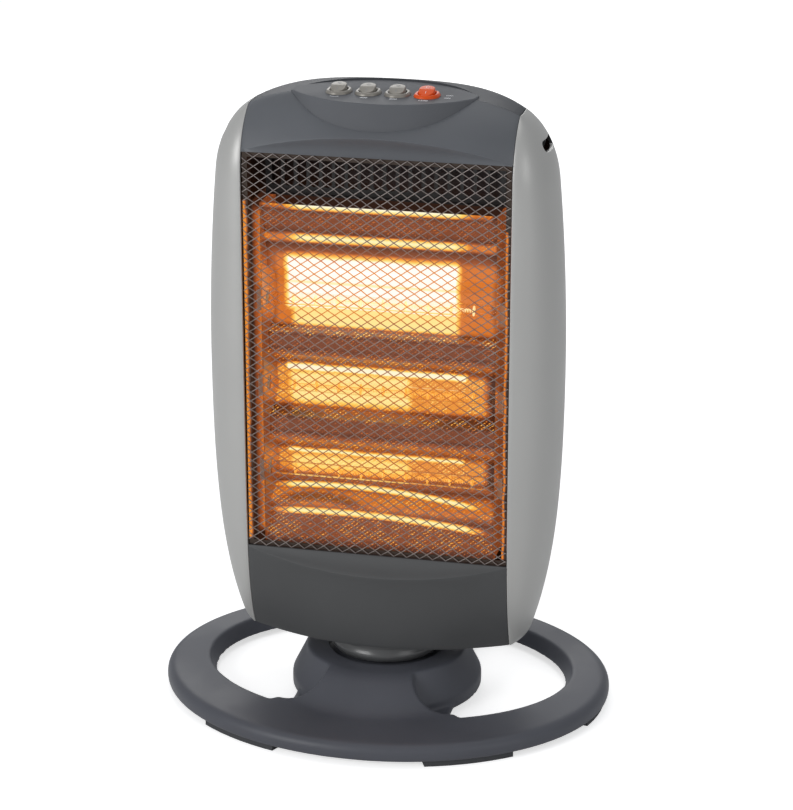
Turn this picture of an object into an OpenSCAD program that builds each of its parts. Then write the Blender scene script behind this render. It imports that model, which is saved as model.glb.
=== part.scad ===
// Upright halogen heater: a barrel-shaped head with three quartz tubes behind a diamond wire guard,
// turning from side to side on an oval base with two large openings.
// X is to the right, Y to the back, Z up; the origin is on the floor under the middle of the base.

/* [Head] */
// Widest half width of the head, at the silver side panels
head_half_w = 131.7; // [124:0.1:138]
// Half width of the dark front between the side panels
front_half_w = 98; // [96:0.5:99]
// Height of the lowest edge of the head
head_bottom = 52; // [51:0.5:53]
// Height where the side panels end at the top
head_top = 452; // [450:0.5:454]
// Height of the widest part of the head
belly_z = 262; // [250:1:275]
// Furthest the front edge of a side panel comes forward
front_reach = 39; // [36:0.5:42]
// Furthest the back edge of a side panel goes back
rear_reach = 44; // [42:0.5:47]
// Wall of the moulded covers
wall = 2.5; // [2:0.1:3]

/* [Control pod] */
// Half width of the lens-shaped pod on the top
pod_half_w = 70; // [66:1:74]
// Reach of the pod to the front of the turning axis
pod_front = 44.5; // [43:0.5:46]
// Reach of the pod to the back of the turning axis
pod_back = 34; // [30:0.5:36]
// Height of the pod's top over the floor
pod_top = 463; // [461:0.5:465]
// Distance between neighbouring rocker switches
switch_pitch = 21.2; // [20.5:0.1:23]
// Tilt of a rocker either way
rocker_tilt = 15; // [10:0.5:15.5]

/* [Guard] */
// Height of the guard's lower edge
guard_bottom = 122; // [121:0.5:123]
// Height of the guard's upper edge
guard_top = 422; // [421:0.5:423]
// Width of one diamond
diamond_w = 9.74; // [9:0.02:14]
// Height of one diamond
diamond_h = 6.66; // [6:0.02:10]
// Thickness of the guard wire
wire_d = 1; // [0.8:0.1:1.2]

/* [Heating] */
// Distance between neighbouring tubes
tube_pitch = 66; // [64:0.5:67]
// Height of the lowest tube
tube_low = 176; // [175:0.5:178]
// Outer diameter of a quartz tube
tube_d = 10; // [9:0.5:12]
// Length of a quartz tube
tube_len = 183; // [180:0.5:184]
// Half width of the reflector
reflector_half_w = 86; // [84:0.5:87]

/* [Base] */
// Half width of the oval base
base_a = 170; // [165:1:175]
// Half depth of the oval base
base_b = 138; // [135:1:142]
// Height of the ring's upper face
ring_top = 17; // [16:0.5:18]
// Height of the pedestal's upper rim
pedestal_top = 37; // [36.5:0.5:38]
// Half width of the openings' common outline
opening_a = 141; // [138:1:143]
// Half depth of the openings' common outline
opening_b = 101; // [99:1:103]
// How far that outline sits behind the middle of the base
opening_back = 10; // [8:1:12]

/* [Hidden] */
$fn = 48;

dark_grey = [0.34, 0.35, 0.37];
base_grey = [0.30, 0.31, 0.33];
satin_silver = [0.70, 0.70, 0.69];
black = [0.08, 0.08, 0.08];
warm_silver = [0.62, 0.60, 0.58];
orange_red = [0.90, 0.32, 0.16];
bright_steel = [0.80, 0.80, 0.82];
glow = [1.0, 0.62, 0.20];
ceramic_white = [0.90, 0.88, 0.82];

joint_gap = 0.4;                  // gap between neighbouring covers
lower_h = belly_z - head_bottom;  // widest part down to the lower edge
upper_h = head_top - belly_z;     // widest part up to the panels' tips
shoulder_z = head_top - 47;       // where the shoulder starts to round over
shoulder_h = 50;                  // height over which it would reach the top of its curve

// ---------------------------------------------------------------- outline of the head

// How far the shoulder of radius r has drawn in at height z
function shoulder(z, r) =
    z <= shoulder_z ? 0 : r * (1 - sqrt(1 - pow((z - shoulder_z) / shoulder_h, 2)));
// Share of the way from the widest part to the lower or upper end
function rise(z) = z < belly_z ? (belly_z - z) / lower_h : (z - belly_z) / upper_h;
// Small rounding of the side panels' lower outer corner
function lower_corner(z) =
    let (h = 8.5, up = min(1, max(0, (z - head_bottom + 0.5) / h)))
    8 * (1 - sqrt(1 - pow(1 - up, 2)));
// Half width of the head at height z
function half_w(z) =
    z < belly_z ? head_half_w - 9.5 * pow(rise(z), 2) - 14.7 * pow(rise(z), 4) - lower_corner(z)
                : head_half_w - 12.4 * pow(rise(z), 2) - shoulder(z, 31);
// Front edge of a side panel at height z
function front_y(z) =
    z < belly_z ? -front_reach + 0.9 * pow(rise(z), 2) + 17.7 * pow(rise(z), 6)
                : -front_reach + 2 * pow(rise(z), 2) + shoulder(z, 40);
// Back edge of a side panel at height z
function rear_y(z) =
    z < belly_z ? rear_reach - 3 * pow(rise(z), 2) - 17 * pow(rise(z), 6)
                : rear_reach - 2 * pow(rise(z), 2) - shoulder(z, 42);
// Weight of a bulge across the width: 1 in the middle, 0 at the edges
function bulge(x, power = 2) = 1 - pow(abs(x) / front_half_w, power);
function mix(a, b, t) = a + (b - a) * t;

// ---------------------------------------------------------------- shells from a grid of points

// Triangles of a closed shell: an outer and an inner grid of the same size, and the rims between them
function grid_faces(rows, cols) =
    let (n = rows * cols)
    concat(
        [for (r = [0:rows - 2], c = [0:cols - 2])
            let (a = r * cols + c, b = a + 1, e = a + cols, d = e + 1)
            each [[a, d, b], [a, e, d], [n + a, n + b, n + d], [n + a, n + d, n + e]]],
        [for (c = [0:cols - 2])
            let (a = c, b = c + 1, e = (rows - 1) * cols + c, d = e + 1)
            each [[b, n + a, a], [b, n + b, n + a], [e, n + d, d], [e, n + e, n + d]]],
        [for (r = [0:rows - 2])
            let (a = r * cols, e = a + cols, b = a + cols - 1, d = b + cols)
            each [[a, n + e, e], [a, n + a, n + e], [d, n + b, b], [d, n + d, n + b]]]);
function flat_list(grid) = [for (row = grid) each row];

module shell(outer, inner) {
    rows = len(outer);
    cols = len(outer[0]);
    polyhedron(points = concat(flat_list(outer), flat_list(inner)), faces = grid_faces(rows, cols));
}

// Point p moved in by the wall thickness towards a line that runs through the head along X
function inward(p, core_z) =
    let (to_core = [0, -2 - p.y, core_z - p.z])
    p + wall * to_core / norm(to_core);

panel_cols = 17;
function panel_x(c) = (front_half_w - joint_gap / 2) * (2 * c / (panel_cols - 1) - 1);

// ---------------------------------------------------------------- side panels

side_rows = 30;
side_cols = 13;
function side_z(r) = mix(head_bottom, head_top, (1 - cos(180 * r / (side_rows - 1))) / 2);
// Plan of a panel at height z: a half ellipse from the front edge round to the back edge
function side_point(z, a, set_in) =
    let (w = half_w(z) - front_half_w,
         in_x = min(set_in, 0.6 * w),
         y = a < 0 ? front_y(z) : rear_y(z),
         in_y = min(set_in, 0.3 * abs(y)))
    [front_half_w + joint_gap / 2 + max(0.3, (w - in_x)) * cos(a),
     (abs(y) - in_y) * sin(a), z];
function side_grid(set_in) =
    [for (r = [0:side_rows - 1])
        [for (c = [0:side_cols - 1]) side_point(side_z(r), -90 + 180 * c / (side_cols - 1), set_in)]];

vent_z = head_top - 21;
panel_screw_at = [[4, 143], [4, 341]];  // place back and height of the panels' screws
boss_d = 8;
screw_bore = 3;
module side_panel() {
    color(satin_silver)
        difference() {
            union() {
                shell(side_grid(0), side_grid(wall));
                // bosses that stand on the flanges of the chassis
                for (s = panel_screw_at) translate([flange_out, s.x, s.y]) rotate([0, 90, 0])
                    cylinder(d = boss_d, h = half_w(s.y) - wall / 2 - flange_out);
            }
            for (s = panel_screw_at) translate([flange_out - 1, s.x, s.y]) rotate([0, 90, 0])
                cylinder(d = screw_bore, h = screw_len + 2);
            // cooling slot on the shoulder, behind the widest line
            translate([front_half_w + 2, -14, vent_z]) rotate([0, 90, 0])
                linear_extrude(30) slot_outline(30, 8);
        }
}
// Round-ended slot that runs along Y from the origin
module slot_outline(length, width) {
    translate([0, width / 2]) circle(d = width);
    translate([0, length - width / 2]) circle(d = width);
    translate([-width / 2, width / 2]) square([width, length - width]);
}
module left_side_panel() { mirror([1, 0, 0]) side_panel(); }
module right_side_panel() { side_panel(); }

// ---------------------------------------------------------------- front and rear covers

crest_z = pod_top + 1.5;      // top of the head in the middle
crest_front = front_y(head_top);
crest_rear = rear_y(head_top);
ridge_reach = 49;             // the covers' ridge in the middle, forward of the turning axis
ridge_rise = 17.5;            // how far the ridges bow away from the guard in the middle
guard_face = 37;              // front of the guard, forward of the turning axis
function lens_arc(f, power) = pow(1 - pow(f, power), 1 / power);

// Top front cover: guard edge, ridge, then up and back to the crest
top_rows = 9;
function top_point(x, r) =
    let (edge = [x, -guard_face, guard_top + joint_gap],
         f = max(0, (r - 1) / (top_rows - 2)),
         z_edge = mix(guard_top + 1, head_top, f),
         z_mid = mix(guard_top + ridge_rise, crest_z, f),
         y_mid = crest_front - (ridge_reach + crest_front) * lens_arc(f, 1.12))
    r == 0 ? edge
           : [x, mix(front_y(z_edge), y_mid, bulge(x)), mix(z_edge, z_mid, mix(bulge(x), bulge(x, 4), f))];
top_screw_at = [for (x = [-60, 60]) [x, 437]];
top_boss_front = -37.6;       // the bosses run from here back to the baffle
module top_front_panel() {
    outer = [for (r = [0:top_rows - 1]) [for (c = [0:panel_cols - 1]) top_point(panel_x(c), r)]];
    inner = [for (row = outer) [for (p = row) inward(p, guard_top + 4)]];
    color(dark_grey) difference() {
        union() {
            difference() {
                shell(outer, inner);
                pod_prism(joint_gap / 2);
            }
            for (s = top_screw_at) translate([s.x, top_boss_front, s.y]) rotate([-90, 0, 0])
                cylinder(d = boss_d - 1, h = baffle_y - top_boss_front);
        }
        for (s = top_screw_at) translate([s.x, baffle_y + 1, s.y]) rotate([90, 0, 0])
            cylinder(d = screw_bore, h = screw_len + 2);
    }
}

// Lower front cover: guard edge, ridge, then down to the boat-shaped lower edge
lower_rows = 9;
function lower_point(x, r) =
    let (f = max(0, (r - 1) / (lower_rows - 2)),
         z_ridge = guard_bottom - 1 - (ridge_rise - 4) * bulge(x),
         z = mix(z_ridge, head_bottom, f),
         out = 10.5 + 15.5 * pow(max(0, (107 - z) / (107 - head_bottom)), 1.5))
    r == 0 ? [x, -guard_face, guard_bottom - joint_gap]
           : [x, front_y(z) - out * bulge(x), z];
module lower_front_panel() {
    outer = [for (r = [lower_rows - 1:-1:0]) [for (c = [0:panel_cols - 1]) lower_point(panel_x(c), r)]];
    inner = [for (row = outer) [for (p = row) p + [0, wall, 0]]];
    color(dark_grey) difference() {
        union() {
            shell(outer, inner);
            for (x = [-boss_x, boss_x]) floor_boss([x, -boss_y], front_web_end);
        }
        floor_boss_bores();
    }
}
// Bosses of the front and rear covers, which stand on the head's floor
boss_x = 54;
boss_y = 30.5;
front_web_end = -38.5;        // inside the front cover's wall
rear_web_end = 37.8;          // inside the rear cover's wall
module floor_boss(at, web_end) {
    translate([at.x, at.y, floor_top]) cylinder(d = boss_d, h = 11);
    translate([at.x - 1.2, min(at.y, web_end), floor_top]) cube([2.4, abs(web_end - at.y), 7]);
}
module floor_boss_bores() {
    for (x = [-boss_x, boss_x], y = [-boss_y, boss_y])
        translate([x, y, floor_z]) cylinder(d = screw_bore, h = screw_len + 1);
}

// Rear cover: from the crest back over the shoulder and down to the lower edge
crest_cells = 3;
shoulder_cells = 7;
back_cells = 10;
foot_cells = 5;
foot_z = 110;
function rear_point(x, r) =
    r <= crest_cells ? rear_crest(x, r / crest_cells)
    : r <= crest_cells + shoulder_cells ? rear_shoulder(x, 90 - 90 * (r - crest_cells) / shoulder_cells)
    : r <= crest_cells + shoulder_cells + back_cells
        ? rear_back(x, mix(shoulder_z, foot_z, (r - crest_cells - shoulder_cells) / back_cells))
        : rear_back(x, mix(foot_z, head_bottom,
                           (r - crest_cells - shoulder_cells - back_cells) / foot_cells));
function rear_crest(x, f) =
    [x, mix(crest_front + joint_gap, mix(crest_rear, pod_back - 1, bulge(x)), f),
     mix(head_top, crest_z, bulge(x, 4))];
function rear_shoulder(x, a) =
    let (z_edge = mix(shoulder_z, head_top, sin(a)),
         z_mid = mix(shoulder_z, crest_z, pow(sin(a), 0.8)),
         y_mid = mix(pod_back - 1, rear_reach + 2, pow(cos(a), 0.8)))
    [x, mix(rear_y(z_edge), y_mid, bulge(x)), mix(z_edge, z_mid, bulge(x, 4))];
function rear_back(x, z) =
    [x, rear_y(z) + (2 + 19 * pow(max(0, (foot_z - z) / (foot_z - head_bottom)), 2)) * bulge(x), z];
rear_rows = crest_cells + shoulder_cells + back_cells + foot_cells + 1;
// Centres of the screws that hold the rear cover to the inner chassis
housing_screw_at = [for (x = [-62, 62], z = [150, 352]) [x, z]];
screw_seat = 1.1;             // depth of the flat seat under a screw's head
post_gap = 0.35;              // from the posts to the cover's curved inside
function cover_y(s) = rear_back(s.x, s.y).y;
cord_bush_at = [0, 84];       // place across and height of the mains inlet
bush_seat = 0.55;
bush_flange_d = 18;
module rear_bore(s, d, from_y) {
    translate([s.x, from_y, s.y]) rotate([-90, 0, 0]) cylinder(d = d, h = 20);
}
module rear_housing() {
    outer = [for (r = [rear_rows - 1:-1:0]) [for (c = [panel_cols - 1:-1:0]) rear_point(panel_x(c), r)]];
    inner = [for (row = outer) [for (p = row) inward(p, min(425, max(75, p.z)))]];
    color(dark_grey) difference() {
        union() {
            shell(outer, inner);
            for (x = [-boss_x, boss_x]) floor_boss([x, boss_y], rear_web_end);
        }
        floor_boss_bores();
        pod_prism(joint_gap / 2);
        rear_vents();
        for (s = housing_screw_at) {
            rear_bore(s, 4, 32);
            rear_bore(s, 7.6, cover_y(s) - screw_seat);
        }
        rear_bore(cord_bush_at, 12, 32);
        rear_bore(cord_bush_at, bush_flange_d + 0.4, cover_y(cord_bush_at) - bush_seat);
    }
}
// Three rows of upright round-ended vents
vent_pitch = 9;
module rear_vents() {
    for (row = [[344, 30], [262, 44], [118, 30]], i = [-5:5])
        translate([i * vent_pitch, 30, row[0] - row[1] / 2]) rotate([-90, 0, 0]) mirror([0, 1, 0])
            linear_extrude(30) slot_outline(row[1], 4.4);
}

// ---------------------------------------------------------------- control pod and switches

// Lens outline: two arcs that meet at the blunt tips
function lens_radius(half, reach) = (half * half + reach * reach) / (2 * reach);
tip_y = -6;                   // the pod's tips, forward of the turning axis
module lens_outline(grow) {
    front_r = lens_radius(pod_half_w, pod_front + tip_y);
    back_r = lens_radius(pod_half_w, pod_back - tip_y);
    intersection() {
        translate([0, tip_y - (pod_front + tip_y) + front_r]) circle(r = front_r + grow, $fn = 96);
        translate([0, pod_back - back_r]) circle(r = back_r + grow, $fn = 96);
        square([2 * (pod_half_w - 3 + grow), 200], center = true);
    }
}
pod_base = 441;
module pod_prism(grow) { translate([0, 0, pod_base - 8]) linear_extrude(60) lens_outline(grow); }
pod_roof = 2.4;
switch_y = -11;               // row of switches, forward of the turning axis
module control_pod() {
    color(dark_grey) difference() {
        translate([0, 0, pod_base]) linear_extrude(pod_top - pod_base) lens_outline(0);
        translate([0, 0, pod_base - 1]) linear_extrude(pod_top - pod_base - pod_roof + 1)
            lens_outline(-wall);
        for (i = [1:4]) at_switch(i) translate([0, 0, -10]) linear_extrude(20) stadium(16.2, 20.2);
    }
}
module at_switch(i) { translate([(i - 2.5) * switch_pitch, switch_y, pod_top]) children(); }
// Oval with straight sides, w across and l long, centred
module stadium(w, l) {
    for (s = [-1, 1]) translate([0, s * (l - w) / 2]) circle(d = w);
    square([w, l - w], center = true);
}
// Rim on the pod, and the case of the switch below it
bezel_h = 2.4;
case_depth = 13;
module switch_bezel() {
    difference() {
        union() {
            linear_extrude(bezel_h - 0.8) stadium(18.2, 22.2);
            translate([0, 0, bezel_h - 0.8]) linear_extrude(0.8) stadium(16.8, 20.8);
            translate([0, 0, -case_depth]) linear_extrude(case_depth) stadium(15.8, 19.8);
        }
        translate([0, 0, -case_depth + 2]) linear_extrude(case_depth + bezel_h) stadium(12, 17.4);
        rotate([0, 90, 0]) cylinder(r = 1.25, h = 15, center = true);
    }
}
// Rocker with two faces that slope away from a ridge over the pin; its back half stands up here
ridge_h = 5.4;
face_slope = 6.5;
module rocker() {
    rotate([rocker_tilt, 0, 0]) {
        difference() {
            translate([0, 0, -3.6]) linear_extrude(ridge_h + 3.6) stadium(11, 15);
            for (s = [-1, 1]) rotate([s * face_slope, 0, 0])
                translate([-10, -20, ridge_h]) cube([20, 40, 20]);
        }
        rotate([0, 90, 0]) cylinder(r = 1.2, h = 13.6, center = true);
    }
}
module switch_bezel_1() { color(warm_silver) at_switch(1) switch_bezel(); }
module switch_bezel_2() { color(warm_silver) at_switch(2) switch_bezel(); }
module switch_bezel_3() { color(warm_silver) at_switch(3) switch_bezel(); }
module switch_bezel_4() { color(orange_red) at_switch(4) switch_bezel(); }
module rocker_1() { color(warm_silver) at_switch(1) rocker(); }
module rocker_2() { color(warm_silver) at_switch(2) rocker(); }
module rocker_3() { color(warm_silver) at_switch(3) rocker(); }
module rocker_4() { color(orange_red) at_switch(4) rocker(); }

// ---------------------------------------------------------------- guard

guard_half_w = front_half_w - 0.8;
wire_slope = atan2(diamond_h, diamond_w);
// Points where a wire of the given slope, crossing height zero at x0, meets the guard's edges
function wire_ends(x0, slope) =
    let (h = guard_top - guard_bottom, k = tan(slope),
         low = max(-guard_half_w, min(x0, x0 + h / k)),
         high = min(guard_half_w, max(x0, x0 + h / k)))
    [[low, (low - x0) * k], [high, (high - x0) * k]];
module wire(x0, slope, y) {
    ends = wire_ends(x0, slope);
    span = ends[1] - ends[0];
    if (span.x > diamond_w / 2)
        translate([ends[0].x, y, guard_bottom + ends[0].y]) rotate([0, 90 - atan2(span.y, span.x), 0])
            cylinder(d = wire_d, h = norm(span), $fn = 16);
}
// Two layers of straight wires that cross as diamonds
module guard_mesh() {
    overhang = (guard_top - guard_bottom) / tan(wire_slope);
    count = floor((2 * guard_half_w + overhang) / diamond_w);
    color(bright_steel) for (i = [0:count]) {
        wire(-guard_half_w - overhang + (i + 0.4) * diamond_w, wire_slope, -guard_face + wire_d / 2);
        wire(-guard_half_w + (i + 0.4) * diamond_w, -wire_slope, -guard_face + 1.5 * wire_d + 0.03);
    }
}
// Folded steel frame behind the wires
rail_w = 3.6;
frame_y = -guard_face + 2 * wire_d + 0.06;
frame_depth = 9;
module guard_frame() {
    h = guard_top - guard_bottom;
    color(bright_steel) translate([0, frame_y, guard_bottom]) rotate([90, 0, 0]) mirror([0, 0, 1]) {
        linear_extrude(1) difference() {
            translate([-guard_half_w, 0]) square([2 * guard_half_w, h]);
            translate([-guard_half_w + rail_w, rail_w]) square([2 * (guard_half_w - rail_w), h - 2 * rail_w]);
        }
        linear_extrude(frame_depth) for (s = [-1, 1])
            translate([s * (guard_half_w - rail_w + 0.5) - 0.5, rail_w]) square([1, h - 2 * rail_w]);
    }
}

// ---------------------------------------------------------------- inside

chassis_y = 16;
flange_w = 1;                 // sheet of the chassis
flange_out = guard_half_w - rail_w;
chassis_front = frame_y + frame_depth;
chassis_low = 118;
chassis_high = 384;
// Sheet steel back plate with two flanges that carry the guard frame
module inner_chassis() {
    color(bright_steel) difference() {
        translate([0, 0, chassis_low]) linear_extrude(chassis_high - chassis_low) union() {
            translate([-flange_out, chassis_y]) square([2 * flange_out, flange_w]);
            for (x = [-flange_out, flange_out - flange_w])
                translate([x, chassis_front]) square([flange_w, chassis_y - chassis_front + flange_w]);
        }
        for (s = housing_screw_at) translate([s.x, chassis_y - 1, s.y]) rotate([-90, 0, 0])
            cylinder(d = 3.4, h = 3);
        for (x = [-flange_out, flange_out - flange_w], s = panel_screw_at)
            translate([x - 1, s.x, s.y]) rotate([0, 90, 0]) cylinder(d = 3.4, h = 3);
    }
}
// Spacers between the back plate and the rear cover
module chassis_posts() {
    color(bright_steel) for (s = housing_screw_at)
        translate([s.x, chassis_y + flange_w, s.y]) rotate([-90, 0, 0]) difference() {
            cylinder(d = 9, h = cover_y(s) - wall - post_gap - chassis_y - flange_w);
            translate([0, 0, -1]) cylinder(d = 3.4, h = 40);
        }
}
module housing_screws() {
    color(black) for (s = housing_screw_at)
        translate([s.x, 0, s.y]) rotate([-90, 0, 0]) {
            cylinder_between(1.6, chassis_y - 2, cover_y(s) - screw_seat + 0.5);
            translate([0, 0, cover_y(s) - screw_seat]) screw_head(7, 2.2);
        }
}
// Pan head with a cross recess
module screw_head(d, h) {
    difference() {
        union() {
            cylinder(d = d, h = h * 0.55);
            translate([0, 0, h * 0.55]) cylinder(d1 = d, d2 = d * 0.6, h = h * 0.45);
        }
        for (a = [0, 90]) rotate([0, 0, a]) translate([-d * 0.26, -0.5, h * 0.45]) cube([d * 0.52, 1, h]);
    }
}

// Reflector: a folded bright sheet with a round trough behind each tube
sheet_t = 0.8;
ridge_y = -14;
trough_r = 24;
tube_y = -12;
function tube_z(i) = tube_low + (i - 1) * tube_pitch;
top_lip = tube_z(3) + 75;
low_lip = tube_z(1) - 53;
reflector_path = concat(
    [[-27, low_lip], [-22, low_lip + 6], [ridge_y, tube_z(1) - 33]],
    [for (i = [1:3], a = [-90:15:90]) [ridge_y + trough_r * cos(a), tube_z(i) + trough_r * sin(a)]],
    [[ridge_y, tube_z(3) + 36], [-20, tube_z(3) + 50], [-27, top_lip - 2], [-29, top_lip]]);
// Direction square to the path at point i, on the side away from the tubes
function path_normal(path, i) =
    let (a = path[max(0, i - 1)], b = path[min(len(path) - 1, i + 1)], d = (b - a) / norm(b - a))
    [d.y, -d.x];
module reflector() {
    back = [for (i = [0:len(reflector_path) - 1])
        reflector_path[i] + sheet_t * path_normal(reflector_path, i)];
    color(bright_steel) along_x(-reflector_half_w, reflector_half_w)
        polygon(concat(reflector_path, [for (i = [len(back) - 1:-1:0]) back[i]]));
}
// Extrude a side view, drawn as Y and Z, between two places on X
module along_x(from, to) {
    translate([from, 0, 0]) rotate([90, 0, 90]) linear_extrude(to - from) children();
}
// End plate with a hole for each tube
module reflector_end(side) {
    x = side * (reflector_half_w + 0.6);
    difference() {
        along_x(x - 0.5, x + 0.5) translate([-27, low_lip]) square([40, top_lip - low_lip]);
        for (i = [1:3]) translate([x - 2, tube_y, tube_z(i)]) rotate([0, 90, 0])
            cylinder(d = tube_d + 2, h = 4);
    }
}
module reflector_end_left() { color(bright_steel) reflector_end(-1); }
module reflector_end_right() { color(bright_steel) reflector_end(1); }

// Black plate with upright slots that screens the space over the reflector
baffle_y = -6;
baffle_low = chassis_high + 2;
baffle_high = pod_base;       // the pod's tips rest on its upper edge
slot_pitch = 9.4;
module vent_baffle() {
    color(black) difference() {
        union() {
            translate([-88, baffle_y, baffle_low]) cube([176, 1, baffle_high - baffle_low]);
            translate([-88, baffle_y, chassis_high + 0.2]) cube([176, chassis_y + flange_w - baffle_y, 1]);
            for (s = [-1, 1]) translate([s * 87.5 - 0.5, baffle_y, baffle_low - 1]) cube([1, 22, 50]);
        }
        for (i = [-8.5:8.5]) translate([i * slot_pitch, baffle_y - 1, baffle_low + 5]) rotate([-90, 0, 0])
            mirror([0, 1, 0]) linear_extrude(3) slot_outline(40, 7);
        for (s = top_screw_at) translate([s.x, baffle_y - 1, s.y]) rotate([-90, 0, 0])
            cylinder(d = 3.4, h = 3);
    }
}
// Disc thermostat that cuts the tubes off when the inside overheats
module thermal_cutout() {
    color(black) translate([30, chassis_y - 2.6, chassis_high - 9]) {
        translate([0, 5, 0]) rotate([-90, 0, 0]) translate([0, 0, -1.35]) cylinder(d = 14, h = 7);
        translate([-2, 9.5, -3]) cube([1, 6, 6]);
        translate([1, 9.5, -3]) cube([1, 6, 6]);
    }
}

// ---------------------------------------------------------------- tubes

// Quartz tube with pinched ends
module halogen_tube(i) {
    color(glow) translate([-tube_len / 2, tube_y, tube_z(i)]) rotate([0, 90, 0]) difference() {
        cylinder(d = tube_d, h = tube_len);
        translate([0, 0, 12]) cylinder(d = tube_d - 2, h = tube_len - 24);
    }
}
// Filament on its axis, held in the middle of the tube by small discs
coil_half = 67;
module heating_coil(i) {
    color(glow) translate([0, tube_y, tube_z(i)]) rotate([0, 90, 0]) {
        translate([0, 0, -tube_len / 2 + 12]) cylinder(d = 1, h = tube_len - 24);
        translate([0, 0, -coil_half]) cylinder(d = 3, h = 2 * coil_half);
        for (k = [-4:4]) translate([0, 0, k * coil_half / 4 - 0.4]) cylinder(d = tube_d - 2.2, h = 0.8);
    }
}
module halogen_tube_1() { halogen_tube(1); }
module halogen_tube_2() { halogen_tube(2); }
module halogen_tube_3() { halogen_tube(3); }
module heating_coil_1() { heating_coil(1); }
module heating_coil_2() { heating_coil(2); }
module heating_coil_3() { heating_coil(3); }
// Ceramic blocks that hold the tube ends outside the reflector
holder_x = reflector_half_w + 1.2;
holder_t = 5.2;
module tube_holders(side) {
    x = side > 0 ? holder_x : -holder_x - holder_t;
    for (i = [1:3]) difference() {
        translate([x, tube_y - 8, tube_z(i) - 8]) cube([holder_t, 16, 16]);
        translate([x - 1, tube_y, tube_z(i)]) rotate([0, 90, 0]) cylinder(d = tube_d + 0.2, h = 12);
    }
}
module tube_holders_left() { color(ceramic_white) tube_holders(-1); }
module tube_holders_right() { color(ceramic_white) tube_holders(1); }

// ---------------------------------------------------------------- foot of the head

// Outline of the head's floor, between the front and rear covers
function floor_outline(inset) = concat(
    [for (c = [0:panel_cols - 1])
        let (x = mix(-front_half_w + 1, front_half_w - 1, c / (panel_cols - 1)))
        [x, front_y(head_bottom) - 26 * bulge(x) + inset]],
    [for (c = [panel_cols - 1:-1:0])
        let (x = mix(-front_half_w + 1, front_half_w - 1, c / (panel_cols - 1)))
        [x, rear_y(head_bottom) + 21 * bulge(x) - inset]]);
floor_z = head_bottom + 0.6;
floor_t = 2.4;
neck_r = 41;
tube_r = 10;                  // pivot tube
floor_top = floor_z + floor_t;
floor_screw_at = [for (a = [45:90:315]) 37.5 * [cos(a), sin(a)]];
module head_floor() {
    color(dark_grey) difference() {
        translate([0, 0, floor_z]) linear_extrude(floor_t) polygon(floor_outline(wall + 0.7));
        translate([0, 0, floor_z - 1]) cylinder(r = tube_r + 0.5, h = 5);
        for (s = floor_screw_at) translate([s.x, s.y, floor_z - 1]) cylinder(d = 4, h = 5);
        for (x = [-boss_x, boss_x], y = [-boss_y, boss_y])
            translate([x, y, floor_z - 1]) cylinder(d = 3.4, h = 5);
    }
}
// Turned cup that shows as a dark bulge between the pedestal and the head
neck_low = 36.4;
neck_round = 9;               // rounding of the cup's lower edge
neck_inside_r = 34;
neck_bottom_t = 5;
module swivel_neck() {
    edge = [neck_r - neck_round, neck_low + neck_round];
    profile = concat(
        [[tube_r + 0.05, neck_low]],
        [for (a = [-90:15:0]) edge + neck_round * [cos(a), sin(a)]],
        [[neck_r, floor_z], [neck_inside_r, floor_z], [neck_inside_r, neck_low + neck_bottom_t],
         [tube_r + 0.05, neck_low + neck_bottom_t]]);
    color(black) difference() {
        rotate_extrude($fn = 72) polygon(profile);
        for (s = floor_screw_at) translate([s.x, s.y, floor_z - 9]) cylinder(d = screw_bore, h = 20);
    }
}
// Self-tapping screw along Z, with the seat of its head at the origin and its head above
screw_len = 10;
module case_screw() {
    translate([0, 0, -screw_len]) cylinder(d = 2.9, h = screw_len + 0.2);
    screw_head(6.4, 2);
}
// All screws of that size in the head: neck, front and rear covers, top cover, side panels
module case_screws() {
    color(bright_steel) {
        for (s = floor_screw_at) translate([s.x, s.y, floor_top]) case_screw();
        for (x = [-boss_x, boss_x], y = [-boss_y, boss_y])
            translate([x, y, floor_z]) rotate([180, 0, 0]) case_screw();
        for (s = top_screw_at) translate([s.x, baffle_y + 1, s.y]) rotate([-90, 0, 0]) case_screw();
        for (k = [0, 1], s = panel_screw_at) mirror([k, 0, 0])
            translate([flange_out - flange_w, s.x, s.y]) rotate([0, -90, 0]) case_screw();
    }
}
// Slow synchronous motor that swings the head, on two posts over the drive arm
motor_at = [34, 0];           // motor shaft, from the turning axis
motor_low = floor_top + 11;
motor_d = 42;
post_reach = 30;              // the posts' distance from the motor's middle
module oscillation_motor() {
    middle = motor_at.x;
    color(bright_steel) difference() {
        union() {
            translate([middle, 0, motor_low]) cylinder(d = motor_d, h = 16);
            translate([middle - 6, -post_reach - 5, motor_low]) cube([12, 2 * post_reach + 10, 1.2]);
        }
        translate([motor_at.x, motor_at.y, motor_low - 1]) cylinder(r = 2.05, h = 9);
        for (s = [-1, 1]) translate([middle, s * post_reach, motor_low - 1]) cylinder(d = 3.2, h = 5);
    }
}
module motor_posts() {
    color(bright_steel) for (s = [-1, 1]) translate([motor_at.x, s * post_reach, 0]) {
        cylinder_between(3.5, floor_top, motor_low);
        cylinder_between(1.55, motor_low - 0.5, motor_low + 1.9);
        cylinder_between(2.6, motor_low + 1.2, motor_low + 2.2);
    }
}
// Crank with its shaft and the pin that works in the drive arm's slot
arm_z = 58.6;                 // underside of the drive arm
arm_t = 1.6;
crank_throw = 17;
crank_z = arm_z + arm_t + 1.4;
module crank_disc() {
    color(bright_steel) translate([motor_at.x, motor_at.y, 0]) {
        cylinder_between(2, crank_z, motor_low + 7);
        cylinder_between(crank_throw + 2.8, crank_z, crank_z + 2);
        translate([crank_throw, 0, 0]) cylinder_between(1.5, crank_z - 0.8, crank_z + 1);
    }
}
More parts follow.
